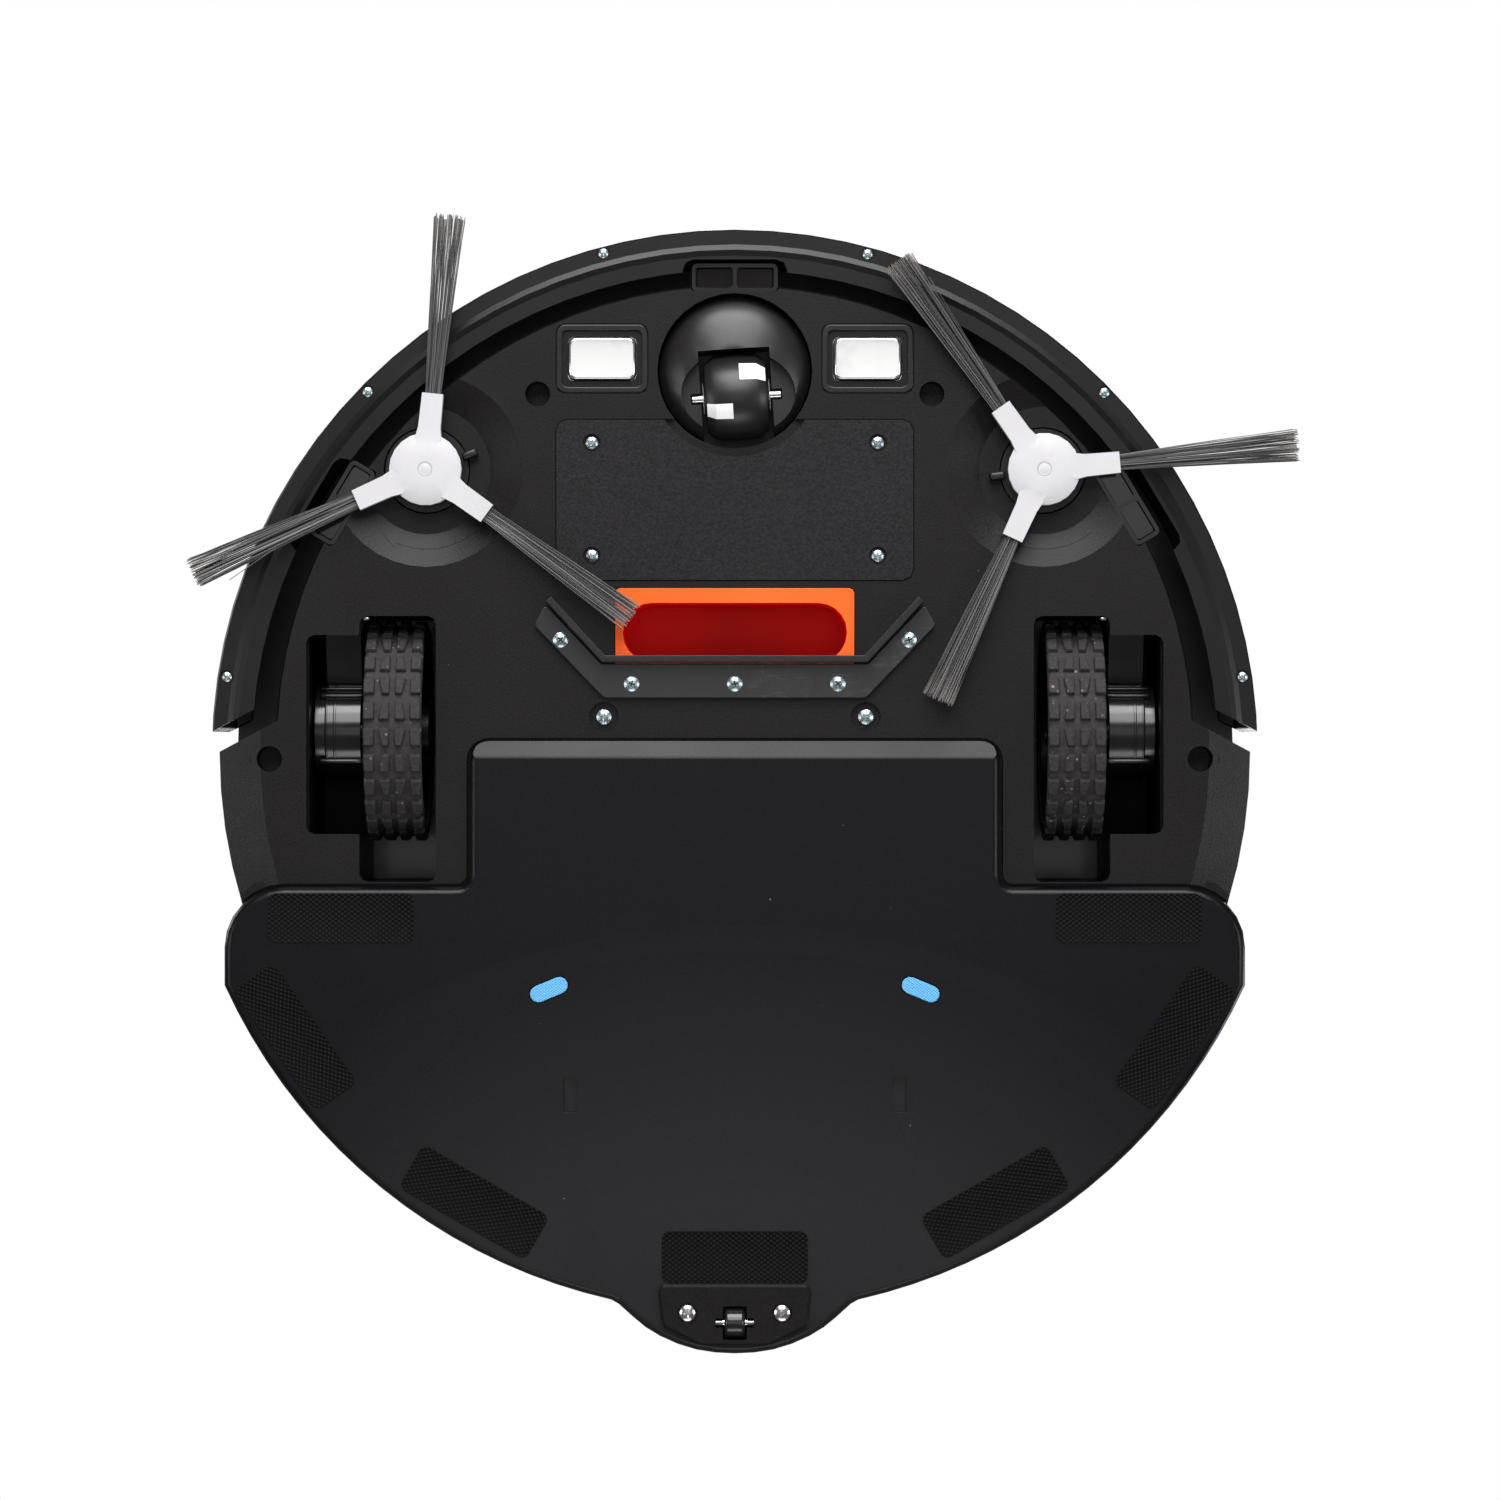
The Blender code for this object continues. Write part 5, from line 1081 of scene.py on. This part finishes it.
def add_gearbox_ribs():
    """The parting line and moulded ribs round each drive gearbox, and the clip in its well."""
    for side, sign in SIDES.items():
        low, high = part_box(f"wheel_hub_{side}")
        hub = (low + high) / 2
        for number, (offset, radius, width) in enumerate(GEARBOX_RIBS, 1):
            middle = Vector((middle_x + sign * offset * MM, hub.y, hub.z))
            ring = drum(f"gearbox_rib_{side}_{number}", radius, width, middle, 72, "X")
            carve(ring, drum("gearbox_room", GEARBOX_RADIUS, 6.0, middle, 48, "X"))
            ease_edges(ring, 0.14, 2, 40.0)
            smooth(ring, 35.0)
            dress(ring, "polished black", f"suspension_{side}", "gloss")
        below = Vector((middle_x + sign * GEARBOX_BAR_X * MM, hub.y, hub.z - GEARBOX_BAR_DROP * MM))
        for number, turn in enumerate(GEARBOX_BAR_TURNS, 1):
            bar = slab(f"gearbox_bar_{side}_{number}", (14.6, 1.9, 1.6), below)
            ease_edges(bar, 0.5, 3, 40.0)
            bar.data.transform(turned_about(hub, turn, "X"))
            smooth(bar)
            dress(bar, "polished black", f"suspension_{side}", "gloss")
        clip = slab(f"well_clip_{side}", (2.2, 1.3, 2.0), at(sign * 122.8, -44.7, 11.8))
        ease_edges(clip, 0.5, 2, 40.0)
        smooth(clip)
        dress(clip, "bright steel", "chassis", "steel")


PEG_TURNS = {"left": -20.0, "right": 173.0}
PEG_PLACE = Vector((15.4 * MM, 0, 10.6 * MM))


def add_brush_pegs():
    """The small dark stop beside each brush hub."""
    for side in SIDES:
        middle = at(*HUB_MIDDLE[side], 0)
        peg = slab(f"brush_peg_{side}", (5.6, 3.2, 5.0), middle + PEG_PLACE)
        pick(peg, faces_down)
        bpy.ops.transform.resize(value=(0.86, 0.7, 1.0))
        done_editing()
        ease_edges(peg, 0.7, 3, 30.0)
        peg.data.transform(turned_about(middle, PEG_TURNS[side]))
        smooth(peg)
        dress(peg, "socket black", "chassis", "shell")


CONTACT_MIDDLE = (44.2, -131.2, 10.25)


def add_contact_frames():
    """The raised rounded frame round each charging contact."""
    x, y, z = CONTACT_MIDDLE
    for side, sign in SIDES.items():
        middle = at(sign * x, y, z)
        frame_piece = slab(f"contact_frame_{side}", (30.4, 22.8, 1.3), middle)
        round_corners(frame_piece, 3.0)
        opening = slab("frame_opening", (26.6, 18.8, 6.0), middle)
        round_corners(opening, 2.2)
        carve(frame_piece, opening)
        ease_edges(frame_piece, 0.5, 4, 40.0)
        smooth(frame_piece, 34.0, flat_faces=True)
        dress(frame_piece, "bezel black", "chassis", "shell")


# ---- shells and the rest of the CAD pieces -------------------------------------------------------
def recess_bumper(piece):
    """Cuts a recess into the bumper's rim for each of its screws."""
    for x, y in BUMPER_SCREWS:
        carve(piece, drum("recess", 2.35, 3.0, at(x, y, 11.1), 32))


FORK_POCKET = (1.2, -119.6)
FORK_POCKET_FLATTENING = 0.74


def open_fork(piece):
    """The wide rounded pocket round the caster wheel."""
    middle = at(*FORK_POCKET, 0)
    pocket = drum("fork_pocket", 19.0, 16.0, at(*FORK_POCKET, 5.4), 64)
    squeeze = Matrix.Diagonal((1.0, FORK_POCKET_FLATTENING, 1.0, 1.0))
    pocket.data.transform(Matrix.Translation(middle) @ squeeze @ Matrix.Translation(-middle))
    carve(piece, pocket)


def plain_shells():
    """Every CAD node that keeps its shape; gives back the bottom cover, which the arrows lie on."""
    eased("battery_cover", "cover black", 0.25, 2)
    eased("bumper_rim", "bumper black", 0.18, 2, shading=14.0, change=recess_bumper)
    eased("bumper_shell", "bumper black", 0.5, 3)
    eased("top_cover", "roof black", 0.6, 3)
    eased("lidar_turret", "roof black", 0.4, 2)
    eased("lidar_rotor", "polished black", 0.3, 2)
    eased("power_button", "polished black", 0.3, 2)
    eased("mop_plate", "mop plate navy", 0.35, 3)
    eased("tail_cover", "chassis black", 0.3, 3)
    eased("tail_roller", "polished black", 0.4, 2)
    eased("mop_release_button", "polished black", 0.4, 2)
    eased("caster_fork", "socket black", 0.3, 2, change=open_fork)
    eased("caster_wheel", "socket black", 0.2, 2)
    eased("scraper_plate", "scraper plate", 0.3, 2)
    eased("scraper_lip", "lip rubber", 0.3, 2)
    eased("suction_inlet", "inlet orange", 0.35, 3)
    eased("water_tank", "smoked box", 0.5, 2)
    eased("dust_box", "smoked box", 0.5, 2)
    eased("suction_fan", "smoked box", 0.3, 2)
    eased("cliff_sensor_front", "polished black", 0.15, 2)
    eased("cliff_lens_front", "infrared window", 0.1, 1)
    eased("main_board", "circuit board", 0.0)
    eased("battery_pack", "battery wrap", 0.6, 3)
    eased("dust_filter", "filter paper", 0.0)
    eased("caster_axle", "bright steel", 0.0)
    eased("tail_pin", "bright steel", 0.0)
    for side in SIDES:
        eased(f"cliff_sensor_{side}", "polished black", 0.15, 2)
        eased(f"cliff_lens_{side}", "infrared window", 0.1, 1)
        eased(f"charge_contact_{side}", "plated contact", 0.25, 3)
        eased(f"brush_motor_{side}", "bezel black", 0.3, 2)
        eased(f"brush_hub_{side}", "hub white", 0.28, 3)
        # The drive housings take the darker black that paints shade into the wheel wells.
        eased(f"drive_housing_{side}", "well shade black", 0.3, 2)
        eased(f"suspension_arm_{side}", "polished black", 0.5, 3)
        eased(f"wheel_hub_{side}", "chassis black", 0.4, 2)
        eased(f"wick_{side}", "wick felt", 0.4, 3)
        eased(f"suspension_spring_{side}", "bright steel", 0.0, shading=60.0)
    return eased("bottom_cover", "chassis black", 0.22, 2, shading=13.0)


# ---- stage ---------------------------------------------------------------------------------------
def add_floor():
    """A pale floor that shows from above only, so that the underside stays in view from below."""
    clear_choice()
    bpy.ops.mesh.primitive_plane_add(size=14.0, location=(0, 0, -0.0002))
    floor = bpy.context.object
    floor.name = "studio_floor"
    settle(floor)
    surface = bpy.data.materials.new("pale floor")
    surface.use_nodes = True
    tree = surface.node_tree
    shader = tree.nodes["Principled BSDF"]
    shader.inputs["Base Color"].default_value = (0.90, 0.90, 0.90, 1.0)
    shader.inputs["Roughness"].default_value = 0.9
    shader.inputs["Specular IOR Level"].default_value = 0.1
    side = tree.nodes.new("ShaderNodeNewGeometry")
    clear = tree.nodes.new("ShaderNodeBsdfTransparent")
    mix = tree.nodes.new("ShaderNodeMixShader")
    tree.links.new(side.outputs["Backfacing"], mix.inputs[0])
    tree.links.new(shader.outputs[0], mix.inputs[1])
    tree.links.new(clear.outputs[0], mix.inputs[2])
    tree.links.new(mix.outputs[0], tree.nodes["Material Output"].inputs["Surface"])
    floor.data.materials.append(surface)
    floor.visible_diffuse = False
    floor.visible_glossy = False
    floor.visible_transmission = False
    floor.visible_shadow = False


# Each lamp's place, the height it is aimed at over the origin, its size in metres and its power in watts.
LAMPS = {
    "front_softbox": ((0.0, -1.66, -1.03), 0.0, (1.6, 0.9), 40.0),
    "high_softbox": ((0.0, -1.15, -1.75), 0.0, (1.4, 0.9), 22.0),
    "left_softbox": ((-1.6, 0.1, -1.1), 0.0, (0.7, 1.0), 7.0),
    "right_softbox": ((1.6, 0.1, -1.1), 0.0, (0.7, 1.0), 9.0),
    "rear_softbox": ((0.0, 1.6, -1.0), 0.0, (1.2, 0.6), 7.0),
    "lens_card": ((0.0, 0.0, -1.9), 0.0, (0.62, 0.62), 1.15),
    "roof_softbox": ((0.2, -0.5, 2.2), 0.0, (1.8, 1.8), 42.0),
    "roof_side_left": ((-1.9, -0.6, 1.2), 0.03, (0.9, 1.2), 14.0),
    "roof_side_right": ((1.9, 0.6, 1.2), 0.03, (0.9, 1.2), 14.0),
}


def add_lamp(name, place, aim, size, power):
    """A rectangular lamp that faces a point over the origin."""
    data = bpy.data.lights.new(name, "AREA")
    data.shape = "RECTANGLE"
    data.size, data.size_y = size
    data.energy = power
    lamp = bpy.data.objects.new(name, data)
    bpy.context.scene.collection.objects.link(lamp)
    lamp.location = place
    lamp.rotation_mode = "QUATERNION"
    lamp.rotation_quaternion = (Vector((0, 0, aim)) - Vector(place)).to_track_quat("-Z", "Y")


def add_lights():
    """A white surround that the camera sees, a faint glow from it on the object, and the softboxes."""
    world = bpy.data.worlds.new("studio")
    bpy.context.scene.world = world
    world.use_nodes = True
    tree = world.node_tree
    seen = tree.nodes["Background"]
    seen.inputs["Color"].default_value = (1.0, 1.0, 1.0, 1.0)
    seen.inputs["Strength"].default_value = 1.0
    glow = tree.nodes.new("ShaderNodeBackground")
    glow.inputs["Color"].default_value = (1.0, 0.99, 0.985, 1.0)
    glow.inputs["Strength"].default_value = 0.13
    path = tree.nodes.new("ShaderNodeLightPath")
    mix = tree.nodes.new("ShaderNodeMixShader")
    tree.links.new(path.outputs["Is Camera Ray"], mix.inputs[0])
    tree.links.new(glow.outputs[0], mix.inputs[1])
    tree.links.new(seen.outputs[0], mix.inputs[2])
    tree.links.new(mix.outputs[0], tree.nodes["World Output"].inputs["Surface"])
    for name, (place, aim, size, power) in LAMPS.items():
        add_lamp(name, place, aim, size, power)


CAMERA_PLACE = (5.06, -0.88, -1691.0)
FIELD_OF_VIEW = 16.7
SENSOR_WIDTH = 36.0


def add_camera():
    """A camera straight below the body, looking up."""
    data = bpy.data.cameras.new("underside_camera")
    data.sensor_width = SENSOR_WIDTH
    data.lens = SENSOR_WIDTH / 2 / math.tan(math.radians(FIELD_OF_VIEW / 2))
    data.clip_start = 0.05
    data.clip_end = 40.0
    camera = bpy.data.objects.new("underside_camera", data)
    bpy.context.scene.collection.objects.link(camera)
    camera.location = at(*CAMERA_PLACE)
    camera.rotation_euler = (math.pi, 0, 0)
    bpy.context.scene.camera = camera


bpy.context.scene.view_settings.view_transform = "Standard"
add_camera()
add_lights()
add_floor()
chassis_floor = plain_shells()
add_arrows(chassis_floor)
add_screws()
add_tyres()
add_bristles()
add_hub_marks()
add_hook_pads()
add_caster_marks()
add_gearbox_ribs()
add_brush_pegs()
add_contact_frames()
